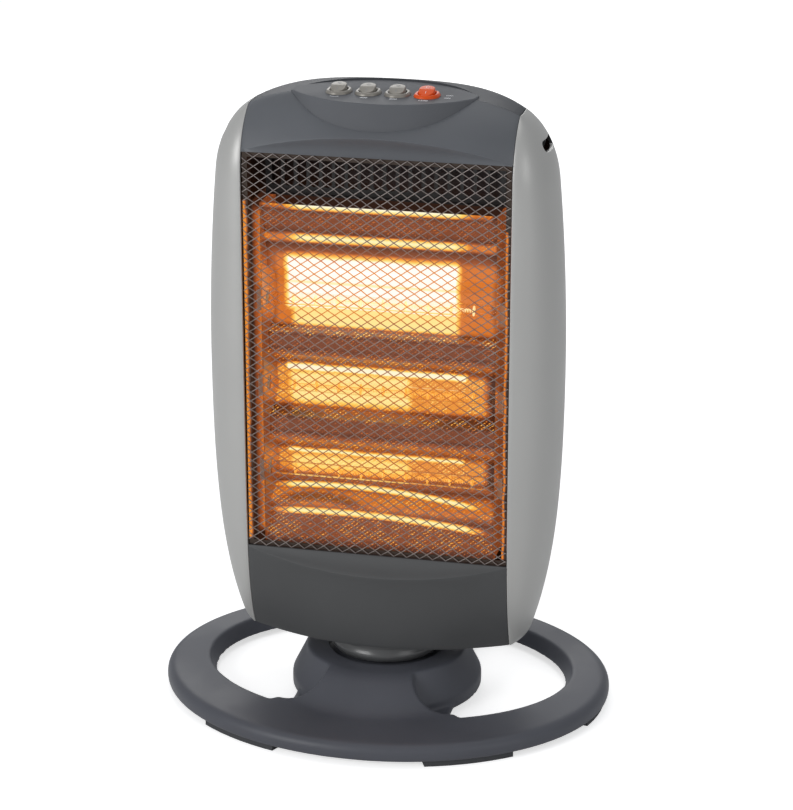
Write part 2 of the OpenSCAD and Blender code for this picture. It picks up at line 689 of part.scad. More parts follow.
// Grommet of the mains inlet, with a flange on each side of the rear cover
module cord_bush() {
    inner_end = -wall - post_gap;
    color(black) translate([cord_bush_at.x, cover_y(cord_bush_at), cord_bush_at.y]) rotate([-90, 0, 0])
        difference() {
            union() {
                cylinder_between(bush_flange_d / 2, -bush_seat, 1.1);
                cylinder_between(5.9, inner_end - 1.4, 1);
                cylinder_between(8, inner_end - 1.4, inner_end);
            }
            cylinder_between(3.3, -8, 6);
        }
}

// ---------------------------------------------------------------- base

// Points of an oval with half axes a and b
oval_cells = 96;
function oval_points(a, b) =
    [for (k = [0:oval_cells - 1]) let (t = 360 * k / oval_cells) [a * cos(t), b * sin(t)]];
module oval(a, b) { polygon(oval_points(a, b)); }
// Solid through a stack of outlines that have the same number of points, each row [points, height]
module stack(rows) {
    n = len(rows[0][0]);
    top = (len(rows) - 1) * n;
    sides = [for (r = [0:len(rows) - 2], k = [0:n - 1])
        let (a = r * n + k, b = r * n + (k + 1) % n)
        each [[a, b + n, b], [a, a + n, b + n]]];
    caps = [[for (k = [0:n - 1]) k], [for (k = [n - 1:-1:0]) top + k]];
    polyhedron(points = [for (row = rows, p = row[0]) [p.x, p.y, row[1]]], faces = concat(caps, sides));
}
rim_low = 4.4;
rim_r = 7;
// Oval plate with an upright edge that rounds over to the top
module base_plate() {
    rows = concat([[0.9, rim_low], [0, rim_low + 3]],
        [for (a = [0:15:90]) [rim_r * (1 - cos(a)), ring_top - rim_r + rim_r * sin(a)]]);
    stack([for (row = rows) [oval_points(base_a - row[0], base_b - row[0]), row[1]]]);
}
pedestal_r = 61;
pedestal_foot_r = 72;
neck_well_r = 43.5;           // recess in the pedestal's top, round the neck
well_z = 34.4;
module pedestal_profile() {
    polygon(concat(
        [[0, rim_low], [pedestal_foot_r, rim_low], [pedestal_foot_r, ring_top - 3]],
        [for (f = [0.1:0.15:1])
            [mix(pedestal_foot_r, pedestal_r, f), mix(ring_top - 3, pedestal_top - 1, f)]],
        [[pedestal_r - 0.5, pedestal_top - 0.3], [pedestal_r - 2, pedestal_top], [0, pedestal_top]]));
}
// Saddle from the pedestal down to the ring, hollowed by a round scoop on each side
// [place across, place out, radius]: the scoop's upright upper part, then its foot, which leans out
front_scoop = [62, 56, 26];
front_foot = [86, 54, 26];
back_scoop = [80, 70, 44];
back_foot = [98, 70, 44];
foot_high = 29;               // a foot's sides lean in up to this height
foot_lean = 0.6;              // width there, as a share of the width at the bottom
saddle_r = 98;                // the skirt meets the ring at this distance from the axis
saddle_end = 104;
// Half width grows past the scoop's middle; before it the sides are straight
module saddle_plan(scoop) {
    inner = scoop.x - scoop.z;
    translate([-inner, 30]) square([2 * inner, scoop.y - 30 + 1]);
    difference() {
        translate([-scoop.x, scoop.y]) square([2 * scoop.x, saddle_end - scoop.y]);
        for (s = [-1, 1]) translate([s * scoop.x, scoop.y]) circle(r = scoop.z, $fn = 60);
    }
}
module saddle(scoop, foot) {
    steps = 10;
    high = pedestal_top - 0.4;
    low = ring_top - 0.5;
    skirt = [for (k = [0:steps])
        [mix(pedestal_r - 2, saddle_r, k / steps), mix(high, low, (1 - cos(180 * k / steps)) / 2)]];
    intersection() {
        rotate_extrude($fn = 72)
            polygon(concat([[40, rim_low], [40, high]], skirt, [[saddle_r, rim_low]]));
        union() {
            linear_extrude(60) saddle_plan(scoop);
            translate([0, 0, rim_low - 0.1])
                linear_extrude(foot_high - rim_low, scale = [foot_lean, 1], slices = 1)
                    saddle_plan(foot);
        }
    }
}
// Upright-sided strip that carries the back saddle on to the ring
back_strip_w = 80;
// The ring's opening: an oval whose wall leans in towards the foot
opening_lean = 1.05;          // the opening's size at the top, as a share of its size at the foot
module ring_opening() {
    difference() {
        translate([0, opening_back, rim_low - 1])
            linear_extrude(ring_top - rim_low + 2, scale = opening_lean, slices = 1)
                oval(opening_a / opening_lean, opening_b / opening_lean);
        translate([-back_strip_w / 2, saddle_end - 10, 0]) cube([back_strip_w, 60, 60]);
    }
}
cavity_r = 50;
cavity_top = 30;
module base_moulding() {
    color(base_grey) difference() {
        union() {
            difference() {
                base_plate();
                ring_opening();
            }
            rotate_extrude($fn = 72) pedestal_profile();
            rotate([0, 0, 180]) saddle(front_scoop, front_foot);
            saddle(back_scoop, back_foot);
        }
        translate([0, 0, well_z]) cylinder(r = neck_well_r, h = 10, $fn = 72);
        translate([0, 0, rim_low - 1]) cylinder(r = cavity_r, h = cavity_top - rim_low + 1, $fn = 72);
        cylinder(r = tube_r + 0.02, h = 60);
        for (s = cover_screw_at) translate([s.x, s.y, 0]) cylinder(d = 3, h = 16);
    }
}
// Round plate that closes the pedestal from below
cover_screw_at = [for (a = [45:90:315]) 58 * [cos(a), sin(a)]];
cover_z = 2;
module base_cover() {
    color(black) difference() {
        translate([0, 0, cover_z]) cylinder(r = 66, h = rim_low - cover_z, $fn = 72);
        for (s = cover_screw_at) translate([s.x, s.y, 0]) cylinder(d = 3.6, h = 10);
        translate([switch_at.x, switch_at.y, 0]) cylinder(d = 9, h = 10);
    }
}
module cover_screws() {
    color(bright_steel) for (s = cover_screw_at) translate([s.x, s.y, 0]) {
        translate([0, 0, cover_z - 1.6]) difference() {
            cylinder(d = 6.4, h = 1.6);
            for (a = [0, 90]) rotate([0, 0, a]) translate([-1.7, -0.5, -1]) cube([3.4, 1, 1.8]);
        }
        translate([0, 0, cover_z - 0.2]) cylinder(d = 2.9, h = 13);
    }
}
// Six pads that follow the rim
foot_at = [-127, -53, 0, 53, 127, 180];
foot_half_angle = 13;
module base_feet() {
    color(black) linear_extrude(rim_low) intersection() {
        difference() {
            oval(base_a - 3, base_b - 3);
            oval(base_a - 15, base_b - 15);
        }
        for (a = foot_at) polygon(concat([[0, 0]],
            [for (s = [-1, 1]) 200 * [cos(a + s * foot_half_angle), sin(a + s * foot_half_angle)]]));
    }
}
ring_z = floor_top + 0.3;     // retaining ring, just over the head's floor
ring_t = 1.1;
// Steel tube on which the head turns, with a flange under the pedestal's roof
module pivot_tube() {
    color(bright_steel) difference() {
        union() {
            cylinder_between(tube_r, cavity_top - 1, floor_top + 6);
            cylinder_between(18, cavity_top - 3, cavity_top);
        }
        cylinder_between(tube_r - 2.5, 20, 80);
        rotate_extrude() translate([tube_r - 1, ring_z - 0.1]) square([3, ring_t + 0.2]);
    }
}
module cylinder_between(r, low, high) { translate([0, 0, low]) cylinder(r = r, h = high - low); }
// Low-friction washer under the neck
module bearing_washer() {
    color(ceramic_white) difference() {
        cylinder_between(32, well_z, neck_low - 0.3);
        cylinder_between(tube_r + 0.6, 30, 40);
    }
}
// Ring that snaps into the tube's groove over the head's floor
module retaining_ring() {
    color(bright_steel) difference() {
        cylinder_between(tube_r + 4, ring_z, ring_z + ring_t);
        cylinder_between(tube_r - 0.9, 50, 70);
        translate([-1.5, -20, 50]) cube([3, 20, 20]);
    }
}
// Arm fixed to the tube; the crank's pin works in its slot
slot_from = motor_at.x - crank_throw - 1.8;
slot_length = 2 * crank_throw + 3.6;
module drive_arm() {
    color(bright_steel) difference() {
        union() {
            cylinder_between(14, arm_z, arm_z + arm_t);
            translate([0, -4.5, arm_z]) cube([slot_from + slot_length + 2.2, 9, arm_t]);
        }
        cylinder_between(tube_r + 0.02, arm_z - 2, arm_z + 4);
        translate([slot_from, 0, arm_z - 2]) rotate([0, 0, -90]) linear_extrude(6)
            slot_outline(slot_length, 3.6);
    }
}
// Tip-over switch: its plunger is pushed in by the floor
switch_at = [0, -34];
module tip_switch_body() {
    color(black) translate([switch_at.x, switch_at.y, 0]) difference() {
        translate([-9, -9, rim_low]) cube([18, 18, 14]);
        translate([0, 0, rim_low - 1]) cylinder(r = 3.55, h = 13);
    }
}
module tip_switch_plunger() {
    color(ceramic_white) translate([switch_at.x, switch_at.y, 0]) {
        translate([0, 0, 0.4]) cylinder(r = 3.5, h = 10);
        translate([0, 0, 0.1]) cylinder(r = 2.6, h = 0.4);
    }
}

base_moulding();
base_cover();
base_feet();
cover_screws();
pivot_tube();
bearing_washer();
retaining_ring();
drive_arm();
tip_switch_body();
tip_switch_plunger();
swivel_neck();
head_floor();
case_screws();
oscillation_motor();
motor_posts();
crank_disc();
left_side_panel();
right_side_panel();
top_front_panel();
lower_front_panel();
rear_housing();
housing_screws();
cord_bush();
control_pod();
switch_bezel_1();
switch_bezel_2();
switch_bezel_3();
switch_bezel_4();
rocker_1();
rocker_2();
rocker_3();
rocker_4();
guard_mesh();
guard_frame();
inner_chassis();
chassis_posts();
reflector();
reflector_end_left();
reflector_end_right();
vent_baffle();
thermal_cutout();
tube_holders_left();
tube_holders_right();
halogen_tube_1();
halogen_tube_2();
halogen_tube_3();
heating_coil_1();
heating_coil_2();
heating_coil_3();
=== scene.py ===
# %% [markdown]
# # A halogen heater
# A halogen heater glows rather than blows: thin quartz tubes stand in front of a folded bright
# sheet, and a diamond wire guard keeps fingers off them. Round that hot window sit cool moulded
# covers, two satin silver side panels, a lens-shaped switch pod and a heavy oval base.
#
# The construction comes from CAD, which fixes every size and every moving part. This lesson adds
# the looks: each visible piece is made again with finer curves in the same place, gets a finish
# of its own, and rides on the CAD body that carries it.

# %% Load the frame
import math

import bmesh
import bpy
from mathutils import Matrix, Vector


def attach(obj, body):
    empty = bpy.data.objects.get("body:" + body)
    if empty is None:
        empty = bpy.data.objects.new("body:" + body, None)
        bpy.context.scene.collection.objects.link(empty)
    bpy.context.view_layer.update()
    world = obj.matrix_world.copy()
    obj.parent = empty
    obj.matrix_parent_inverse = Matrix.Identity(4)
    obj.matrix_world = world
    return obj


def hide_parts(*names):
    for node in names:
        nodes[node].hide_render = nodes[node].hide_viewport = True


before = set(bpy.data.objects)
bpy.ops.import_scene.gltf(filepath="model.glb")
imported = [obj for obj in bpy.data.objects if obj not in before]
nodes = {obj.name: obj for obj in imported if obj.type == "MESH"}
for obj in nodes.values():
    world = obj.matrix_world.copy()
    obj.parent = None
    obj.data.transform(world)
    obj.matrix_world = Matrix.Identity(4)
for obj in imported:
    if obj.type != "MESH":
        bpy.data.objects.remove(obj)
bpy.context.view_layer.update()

# %% [markdown]
# ## Camera
# A product photograph of this kind is taken from some two metres away with a long lens, a little
# above the object and a little to one side. The long lens keeps the upright edges almost
# parallel. The numbers below put the guard's corners and the base's outline where they belong.

# %% Place the camera
TURN = math.radians(12.796)    # camera to the right of straight ahead
DIP = math.radians(19.573)     # camera looks down by this much
DISTANCE = 1.9141
AIM_HEIGHT = 0.227
SIDE_STEP = 0.0071

forward = Vector((-math.sin(TURN) * math.cos(DIP), math.cos(TURN) * math.cos(DIP), -math.sin(DIP)))
sideways = Vector((math.cos(TURN), math.sin(TURN), 0.0))
lens = bpy.data.cameras.new("camera")
lens.lens = 115.35
lens.sensor_width = 36.0
lens.clip_end = 30.0
camera = bpy.data.objects.new("camera", lens)
camera.location = Vector((0, 0, AIM_HEIGHT)) - forward * DISTANCE + sideways * SIDE_STEP
camera.rotation_euler = forward.to_track_quat("-Z", "Y").to_euler()
bpy.context.scene.collection.objects.link(camera)
bpy.context.scene.camera = camera
print("camera at", [round(c, 3) for c in camera.location])

# %% [markdown]
# ## Studio
# Soft light from large panels suits satin plastic: it draws long even gradients instead of hard
# spots. The white backdrop is there for camera and transmission rays and, weaker, for glossy ones,
# so that it shows in the picture and in reflections but puts no extra light on the object.

# %% Light the studio
scene = bpy.context.scene
scene.view_settings.view_transform = "Standard"


def add(tree, kind, at=(0, 0), **settings):
    """A new node in a tree, with its plain settings."""
    node = tree.nodes.new(kind)
    node.location = at
    for key, value in settings.items():
        setattr(node, key, value)
    return node


def seen_directly(tree, at, mirrored=0.3):
    """1 for camera and transmission rays, less for glossy rays, 0 for the rays that carry light."""
    path = add(tree, "ShaderNodeLightPath", at)
    gloss = add(tree, "ShaderNodeMath", (at[0] + 180, at[1] - 160), operation="MULTIPLY")
    gloss.inputs[1].default_value = mirrored
    first = add(tree, "ShaderNodeMath", (at[0] + 180, at[1]), operation="MAXIMUM")
    second = add(tree, "ShaderNodeMath", (at[0] + 340, at[1]), operation="MAXIMUM")
    tree.links.new(path.outputs["Is Glossy Ray"], gloss.inputs[0])
    tree.links.new(path.outputs["Is Camera Ray"], first.inputs[0])
    tree.links.new(gloss.outputs[0], first.inputs[1])
    tree.links.new(first.outputs[0], second.inputs[0])
    tree.links.new(path.outputs["Is Transmission Ray"], second.inputs[1])
    return second.outputs[0]


world = bpy.data.worlds.new("studio")
world.use_nodes = True
scene.world = world
sky = world.node_tree
sky.nodes.clear()
room = add(sky, "ShaderNodeBackground", (0, 0))
room.inputs["Color"].default_value = (0.95, 0.97, 1.0, 1)
room.inputs["Strength"].default_value = 0.36
backdrop = add(sky, "ShaderNodeBackground", (0, -150))
backdrop.inputs["Color"].default_value = (1, 1, 1, 1)
backdrop.inputs["Strength"].default_value = 1.0
choose = add(sky, "ShaderNodeMixShader", (220, 0))
result = add(sky, "ShaderNodeOutputWorld", (420, 0))
sky.links.new(seen_directly(sky, (-500, 200)), choose.inputs[0])
sky.links.new(room.outputs[0], choose.inputs[1])
sky.links.new(backdrop.outputs[0], choose.inputs[2])
sky.links.new(choose.outputs[0], result.inputs[0])


def soft_panel(name, at, aim, size, power, colour=(1, 1, 1)):
    """A square area lamp at one point that faces another."""
    lamp = bpy.data.lights.new(name, "AREA")
    lamp.size = size
    lamp.energy = power
    lamp.color = colour
    obj = bpy.data.objects.new(name, lamp)
    obj.location = at
    obj.rotation_euler = (Vector(aim) - Vector(at)).to_track_quat("-Z", "Y").to_euler()
    scene.collection.objects.link(obj)
    return obj


MIDDLE = (0, 0, 0.25)
soft_panel("key_left", (-1.6, -2.2, 1.2), MIDDLE, 1.4, 36)
soft_panel("fill_right", (1.9, -1.5, 1.0), MIDDLE, 1.2, 7)
soft_panel("top", (0.1, 0.3, 2.4), MIDDLE, 1.4, 7)
soft_panel("back", (-0.6, 2.2, 1.4), MIDDLE, 1.4, 12)

# %% The floor
FLOOR_HALF = 6.0
floor_mesh = bpy.data.meshes.new("floor")
corners = [(x * FLOOR_HALF, y * FLOOR_HALF, 0) for x, y in ((-1, -1), (1, -1), (1, 1), (-1, 1))]
floor_mesh.from_pydata(corners, [], [(0, 1, 2, 3)])
floor = bpy.data.objects.new("floor", floor_mesh)
scene.collection.objects.link(floor)
pale = bpy.data.materials.new("pale_floor")
pale.use_nodes = True
tree = pale.node_tree
tree.nodes.clear()
paint = add(tree, "ShaderNodeBsdfDiffuse", (0, 0))
paint.inputs["Color"].default_value = (0.86, 0.86, 0.86, 1)
lift = add(tree, "ShaderNodeEmission", (0, -150))
lift.inputs["Color"].default_value = (1, 1, 1, 1)
both = add(tree, "ShaderNodeAddShader", (220, 0))
result = add(tree, "ShaderNodeOutputMaterial", (420, 0))
level = add(tree, "ShaderNodeMath", (-200, -150), operation="MULTIPLY")
level.inputs[1].default_value = 0.62
tree.links.new(seen_directly(tree, (-700, 0)), level.inputs[0])
tree.links.new(level.outputs[0], lift.inputs["Strength"])
tree.links.new(paint.outputs[0], both.inputs[0])
tree.links.new(lift.outputs[0], both.inputs[1])
tree.links.new(both.outputs[0], result.inputs[0])
floor_mesh.materials.append(pale)

# %% [markdown]
# ## Effects that several finishes share
# A moulded cover is never one flat colour. It has a spark-eroded grain and a slow cloudiness where
# it has been handled, and its edges are painted a little lighter, as a highlight where a rounded edge
# would catch the light. Each effect is a node group with named inputs and outputs, built once and
# placed in every material that needs it.

# %% Node group helpers


def shader_group(name, inputs, outputs):
    """An empty shader group with float inputs {name: value} and outputs, and its two end nodes."""
    group = bpy.data.node_groups.new(name, "ShaderNodeTree")
    for label, value in inputs.items():
        socket = group.interface.new_socket(label, in_out="INPUT", socket_type="NodeSocketFloat")
        socket.default_value = value
    for label in outputs:
        group.interface.new_socket(label, in_out="OUTPUT", socket_type="NodeSocketFloat")
    return group, add(group, "NodeGroupInput", (-900, 0)), add(group, "NodeGroupOutput", (900, 0))


def wire(tree, source, target):
    tree.links.new(source, target)


def maths(tree, operation, a, b=None, c=None, clamp=False):
    """The output of a Math node; a, b and c are numbers or sockets."""
    node = add(tree, "ShaderNodeMath", operation=operation, use_clamp=clamp)
    for value, socket in zip((a, b, c), node.inputs):
        if isinstance(value, (int, float)):
            socket.default_value = value
        elif value is not None:
            tree.links.new(value, socket)
    return node.outputs[0]


def ramp_between(tree, value, low, high, out_low=0.0, out_high=1.0):
    """A soft step: value goes smoothly from out_low at low to out_high at high."""
    node = add(tree, "ShaderNodeMapRange", interpolation_type="SMOOTHSTEP")
    for socket, given in zip(node.inputs, (value, low, high, out_low, out_high)):
        if isinstance(given, (int, float)):
            socket.default_value = given
        else:
            tree.links.new(given, socket)
    return node.outputs[0]


def object_xyz(tree):
    """The surface point's own X, Y and Z, in metres."""
    place = add(tree, "ShaderNodeTexCoord", (-900, 300))
    split = add(tree, "ShaderNodeSeparateXYZ", (-720, 300))
    tree.links.new(place.outputs["Object"], split.inputs[0])
    return place.outputs["Object"], split.outputs[0], split.outputs[1], split.outputs[2]


def noise(tree, coordinates, scale, detail=2.0, roughness=0.5, distortion=0.0):
    node = add(tree, "ShaderNodeTexNoise")
    node.inputs["Scale"].default_value = scale
    node.inputs["Detail"].default_value = detail
    node.inputs["Roughness"].default_value = roughness
    node.inputs["Distortion"].default_value = distortion
    tree.links.new(coordinates, node.inputs["Vector"])
    return node.outputs["Fac"]


# %% Moulded grain
# Height is the fine eroded texture, Cloud the slow change from place to place.
grain_group, g_in, g_out = shader_group("moulded_grain", {"Grain Scale": 1500.0, "Cloud Scale": 18.0},
                                        ["Height", "Cloud"])
where = add(grain_group, "ShaderNodeTexCoord", (-900, 300)).outputs["Object"]
fine = add(grain_group, "ShaderNodeTexNoise")
fine.inputs["Detail"].default_value = 1.5
slow = add(grain_group, "ShaderNodeTexNoise")
slow.inputs["Detail"].default_value = 3.0
wire(grain_group, where, fine.inputs["Vector"])
wire(grain_group, where, slow.inputs["Vector"])
wire(grain_group, g_in.outputs["Grain Scale"], fine.inputs["Scale"])
wire(grain_group, g_in.outputs["Cloud Scale"], slow.inputs["Scale"])
wire(grain_group, fine.outputs["Fac"], g_out.inputs["Height"])
wire(grain_group, ramp_between(grain_group, slow.outputs["Fac"], 0.3, 0.7), g_out.inputs["Cloud"])

# %% Painted edge highlight
# The Bevel node rounds the normal near an edge. Where it differs from the true normal, there is an
# edge, and there the colour is painted lighter as a highlight. A little noise breaks the line up.
edge_highlight_group, e_in, e_out = shader_group("painted_edge_highlight", {"Breakup Scale": 90.0}, ["Edge"])
rounded = add(edge_highlight_group, "ShaderNodeBevel", samples=3)
rounded.inputs["Radius"].default_value = 0.0009
plain = add(edge_highlight_group, "ShaderNodeNewGeometry")
likeness = add(edge_highlight_group, "ShaderNodeVectorMath", operation="DOT_PRODUCT")
wire(edge_highlight_group, rounded.outputs[0], likeness.inputs[0])
wire(edge_highlight_group, plain.outputs["Normal"], likeness.inputs[1])
bent = maths(edge_highlight_group, "SUBTRACT", 1.0, likeness.outputs["Value"])
breakup = add(edge_highlight_group, "ShaderNodeTexNoise")
wire(edge_highlight_group, add(edge_highlight_group, "ShaderNodeTexCoord").outputs["Object"], breakup.inputs["Vector"])
wire(edge_highlight_group, e_in.outputs["Breakup Scale"], breakup.inputs["Scale"])
# mask of the painted highlight: strong where the normal bends at an edge, broken up by noise
edge_highlight_mask = maths(edge_highlight_group, "MULTIPLY", ramp_between(edge_highlight_group, bent, 0.01, 0.22),
             ramp_between(edge_highlight_group, breakup.outputs["Fac"], 0.2, 0.6, 0.45, 1.0))
wire(edge_highlight_group, edge_highlight_mask, e_out.inputs["Edge"])

# %% Drawn metal
# Sheet and wire keep fine lines from the rolls and dies that shaped them. The stretch makes the
# noise long along X and short across it.
drawn_group, d_in, d_out = shader_group("drawn_metal", {"Line Scale": 1400.0}, ["Lines", "Stain"])
stretch = add(drawn_group, "ShaderNodeMapping")
stretch.inputs["Scale"].default_value = (0.03, 1.0, 1.0)
wire(drawn_group, add(drawn_group, "ShaderNodeTexCoord").outputs["Object"], stretch.inputs["Vector"])
lines = add(drawn_group, "ShaderNodeTexNoise")
lines.inputs["Detail"].default_value = 2.0
wire(drawn_group, stretch.outputs[0], lines.inputs["Vector"])
wire(drawn_group, d_in.outputs["Line Scale"], lines.inputs["Scale"])
wire(drawn_group, lines.outputs["Fac"], d_out.inputs["Lines"])
stain = noise(drawn_group, add(drawn_group, "ShaderNodeTexCoord").outputs["Object"], 30.0, 4.0)
wire(drawn_group, ramp_between(drawn_group, stain, 0.35, 0.75), d_out.inputs["Stain"])
print("shared effects:", [g.name for g in bpy.data.node_groups])

# %% [markdown]
# ## Finishes
# Every finish is the same few nodes with other numbers: a shader, the grain for the bump, the
# cloud for small changes of colour and gloss, and the edge group for a painted highlight along edges.

# %% Colour and material helpers


def linear(red, green, blue):
    """A colour named by its 0 to 255 screen values, as the linear numbers that a shader takes."""
    def one(value):
        value = value / 255
        return value / 12.92 if value <= 0.04045 else ((value + 0.055) / 1.055) ** 2.4
    return one(red), one(green), one(blue)


def place_group(tree, group, at=(-600, 0), **values):
    node = add(tree, "ShaderNodeGroup", at)
    node.node_tree = group
    for key, value in values.items():
        node.inputs[key.replace("_", " ")].default_value = value
    return node


def colour_mix(tree, amount, first, second):
    """A colour that goes from first to second as amount goes from 0 to 1."""
    node = add(tree, "ShaderNodeMix", data_type="RGBA")
    sockets = [s for s in node.inputs if s.enabled]
    for socket, given in zip(sockets, (amount, first, second)):
        if isinstance(given, tuple):
            socket.default_value = (*given, 1)
        elif isinstance(given, (int, float)):
            socket.default_value = given
        else:
            tree.links.new(given, socket)
    return [s for s in node.outputs if s.enabled][0]


def scaled(colour, factor):
    return tuple(min(1.0, c * factor) for c in colour)


def new_material(name):
    """A material with one Principled shader, which stays in the material itself."""
    material = bpy.data.materials.new(name)
    material.use_nodes = True
    shader = material.node_tree.nodes["Principled BSDF"]
    shader.location = (500, 0)
    return material, material.node_tree, shader


def add_bump(tree, shader, height, strength, distance):
    bump = add(tree, "ShaderNodeBump", (250, -300))
    bump.inputs["Strength"].default_value = strength
    bump.inputs["Distance"].default_value = distance
    wire(tree, height, bump.inputs["Height"])
    wire(tree, bump.outputs[0], shader.inputs["Normal"])


def moulded(name, colour, gloss, grain=0.25, grain_scale=1500.0, cloud=0.05, edge=0.25, metallic=0.0,
            coat=0.0, shine=0.5):
    """A moulded or painted surface: colour, roughness, grain, cloudiness and painted edge highlights."""
    material, tree, shader = new_material(name)
    surface = place_group(tree, grain_group, (-700, 0), Grain_Scale=grain_scale)
    edge_light = place_group(tree, edge_highlight_group, (-700, -300))
    body = colour_mix(tree, surface.outputs["Cloud"], scaled(colour, 1 - cloud), scaled(colour, 1 + cloud))
    # painted highlight: near an edge the colour is mixed towards 2.2 times itself, as strong as edge says
    edge_light_amount = maths(tree, "MULTIPLY", edge_light.outputs["Edge"], edge)
    wire(tree, colour_mix(tree, edge_light_amount, body, scaled(colour, 2.2)), shader.inputs["Base Color"])
    wire(tree, ramp_between(tree, surface.outputs["Cloud"], 0.0, 1.0, gloss - 0.04, gloss + 0.05),
         shader.inputs["Roughness"])
    shader.inputs["Metallic"].default_value = metallic
    shader.inputs["Specular IOR Level"].default_value = shine
    shader.inputs["Coat Weight"].default_value = coat
    shader.inputs["Coat Roughness"].default_value = 0.2
    add_bump(tree, shader, surface.outputs["Height"], grain, 0.0001)
    return material


def drawn(name, colour, gloss, line_scale=1400.0, bump=0.15, metallic=1.0):
    """Sheet or wire with fine drawn lines and faint stains."""
    material, tree, shader = new_material(name)
    metal = place_group(tree, drawn_group, (-700, 0), Line_Scale=line_scale)
    wire(tree, colour_mix(tree, metal.outputs["Stain"], colour, scaled(colour, 0.82)),
         shader.inputs["Base Color"])
    wire(tree, ramp_between(tree, metal.outputs["Lines"], 0.2, 0.8, gloss - 0.07, gloss + 0.1),
         shader.inputs["Roughness"])
    shader.inputs["Metallic"].default_value = metallic
    add_bump(tree, shader, metal.outputs["Lines"], bump, 0.00005)
    return material


# %% Mix the plastics and plain metals
# edge sets how strongly each finish's edges are painted lighter, as a highlight
silver_paint = moulded("satin_silver_paint", linear(176, 176, 174), 0.42, grain=0.06, grain_scale=2600.0,
                       cloud=0.012, edge=0.1, metallic=0.25)
upper_grey = moulded("slate_cover_plastic", linear(88, 91, 96), 0.48, grain=0.16)
lower_grey = moulded("dark_cover_plastic", linear(71, 72, 73), 0.5, grain=0.16, shine=0.4)
rear_grey = moulded("rear_cover_plastic", linear(80, 82, 86), 0.54, grain=0.2, shine=0.12)
pod_grey = moulded("pod_plastic", linear(98, 100, 104), 0.54, grain=0.18, shine=0.06)
base_grey = moulded("base_plastic", linear(80, 82, 89), 0.46, grain=0.14, edge=0.35, shine=0.3)
neck_black = moulded("neck_plastic", linear(74, 75, 76), 0.32, grain=0.05, coat=0.2)
deep_black = moulded("black_plastic", linear(28, 28, 29), 0.5, grain=0.2)
foot_rubber = moulded("foot_rubber", linear(64, 65, 68), 0.8, grain=0.5, grain_scale=900.0)
switch_grey = moulded("switch_silver", linear(138, 134, 127), 0.36, grain=0.08, cloud=0.02, metallic=0.3)
switch_orange = moulded("switch_orange", linear(226, 84, 24), 0.34, grain=0.06, cloud=0.02, shine=0.25)
white_nylon = moulded("white_nylon", linear(214, 211, 202), 0.45, grain=0.15)
print_white = moulded("printed_white", linear(236, 238, 240), 0.6, grain=0.02, edge=0.0)
pale_relief = moulded("relief_grey", linear(122, 125, 130), 0.5, grain=0.05)
ceramic_white = moulded("steatite", linear(214, 206, 186), 0.6, grain=0.6, grain_scale=700.0, cloud=0.08)
zinc_steel = drawn("zinc_plated_steel", linear(176, 174, 168), 0.35)
dark_steel = drawn("blackened_steel", linear(52, 50, 48), 0.45)
# the strong painted edge highlight on the black enamel draws light rims round the baffle's slots
baffle_black = moulded("black_enamel", linear(34, 32, 31), 0.42, grain=0.1, edge=0.5)
print(len(bpy.data.materials), "materials so far")

# %% [markdown]
# ## Shapes
# The covers are curved sheets that follow a rule: a height gives the outline, and a place across
# the width gives the bulge. A grid of points on that rule, a second grid one wall inside it and
# the rims between them make a closed shell. Points are written in millimetres, as on a drawing,
# and become metres when the mesh is made.

# %% Mesh helpers
MM = 0.001


def new_piece(name, points, faces):
    """A mesh object from points in millimetres."""
    mesh = bpy.data.meshes.new(name)
    mesh.from_pydata([[c * MM for c in p] for p in points], [], faces)
    obj = bpy.data.objects.new(name, mesh)
    scene.collection.objects.link(obj)
    return obj


def clean(obj, merge=0.00002):
    """Merges double points and turns every face outwards, on a closed shape."""
    bm = bmesh.new()
    bm.from_mesh(obj.data)
    bmesh.ops.remove_doubles(bm, verts=bm.verts, dist=merge)
    bmesh.ops.dissolve_degenerate(bm, edges=bm.edges, dist=merge / 4)
    bmesh.ops.recalc_face_normals(bm, faces=bm.faces)
    bm.to_mesh(obj.data)
    bm.free()
    return obj


def fix_in_mesh(obj):
    """Runs the modifiers once and keeps their result as the plain mesh."""
    bpy.context.view_layer.update()
    shaped = obj.evaluated_get(bpy.context.evaluated_depsgraph_get())
    mesh = bpy.data.meshes.new_from_object(shaped)
    obj.modifiers.clear()
    obj.data = mesh
    return obj


def round_edges(obj, width, segments=2, angle=32):
    """Breaks every edge sharper than the angle, as a mould or a file does; width in millimetres."""
    bevel = obj.modifiers.new("edges", "BEVEL")
    bevel.width = width * MM
    bevel.segments = segments
    bevel.limit_method = "ANGLE"
    bevel.angle_limit = math.radians(angle)
    bevel.use_clamp_overlap = True
    return fix_in_mesh(obj)


def cut(obj, *cutters):
    """Takes closed shapes away from a closed shape."""
    for cutter in cutters:
        tool = obj.modifiers.new("cut", "BOOLEAN")
        tool.operation = "DIFFERENCE"
        tool.solver = "MANIFOLD"
        tool.object = cutter
    fix_in_mesh(obj)
    for cutter in cutters:
        bpy.data.objects.remove(cutter)
    return obj


def finish_piece(obj, material, body, slot, *replaced, angle=32):
    """Shading, finish, body, and the CAD nodes the piece stands for; slot is not used."""
    obj.data.materials.clear()
    obj.data.materials.append(material)
    for face in obj.data.polygons:
        face.material_index = 0
    obj.data.shade_smooth()
    obj.data.set_sharp_from_angle(angle=math.radians(angle))
    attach(obj, body)
    if replaced:
        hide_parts(*replaced)
    return obj


def mix(a, b, t):
    return a + (b - a) * t


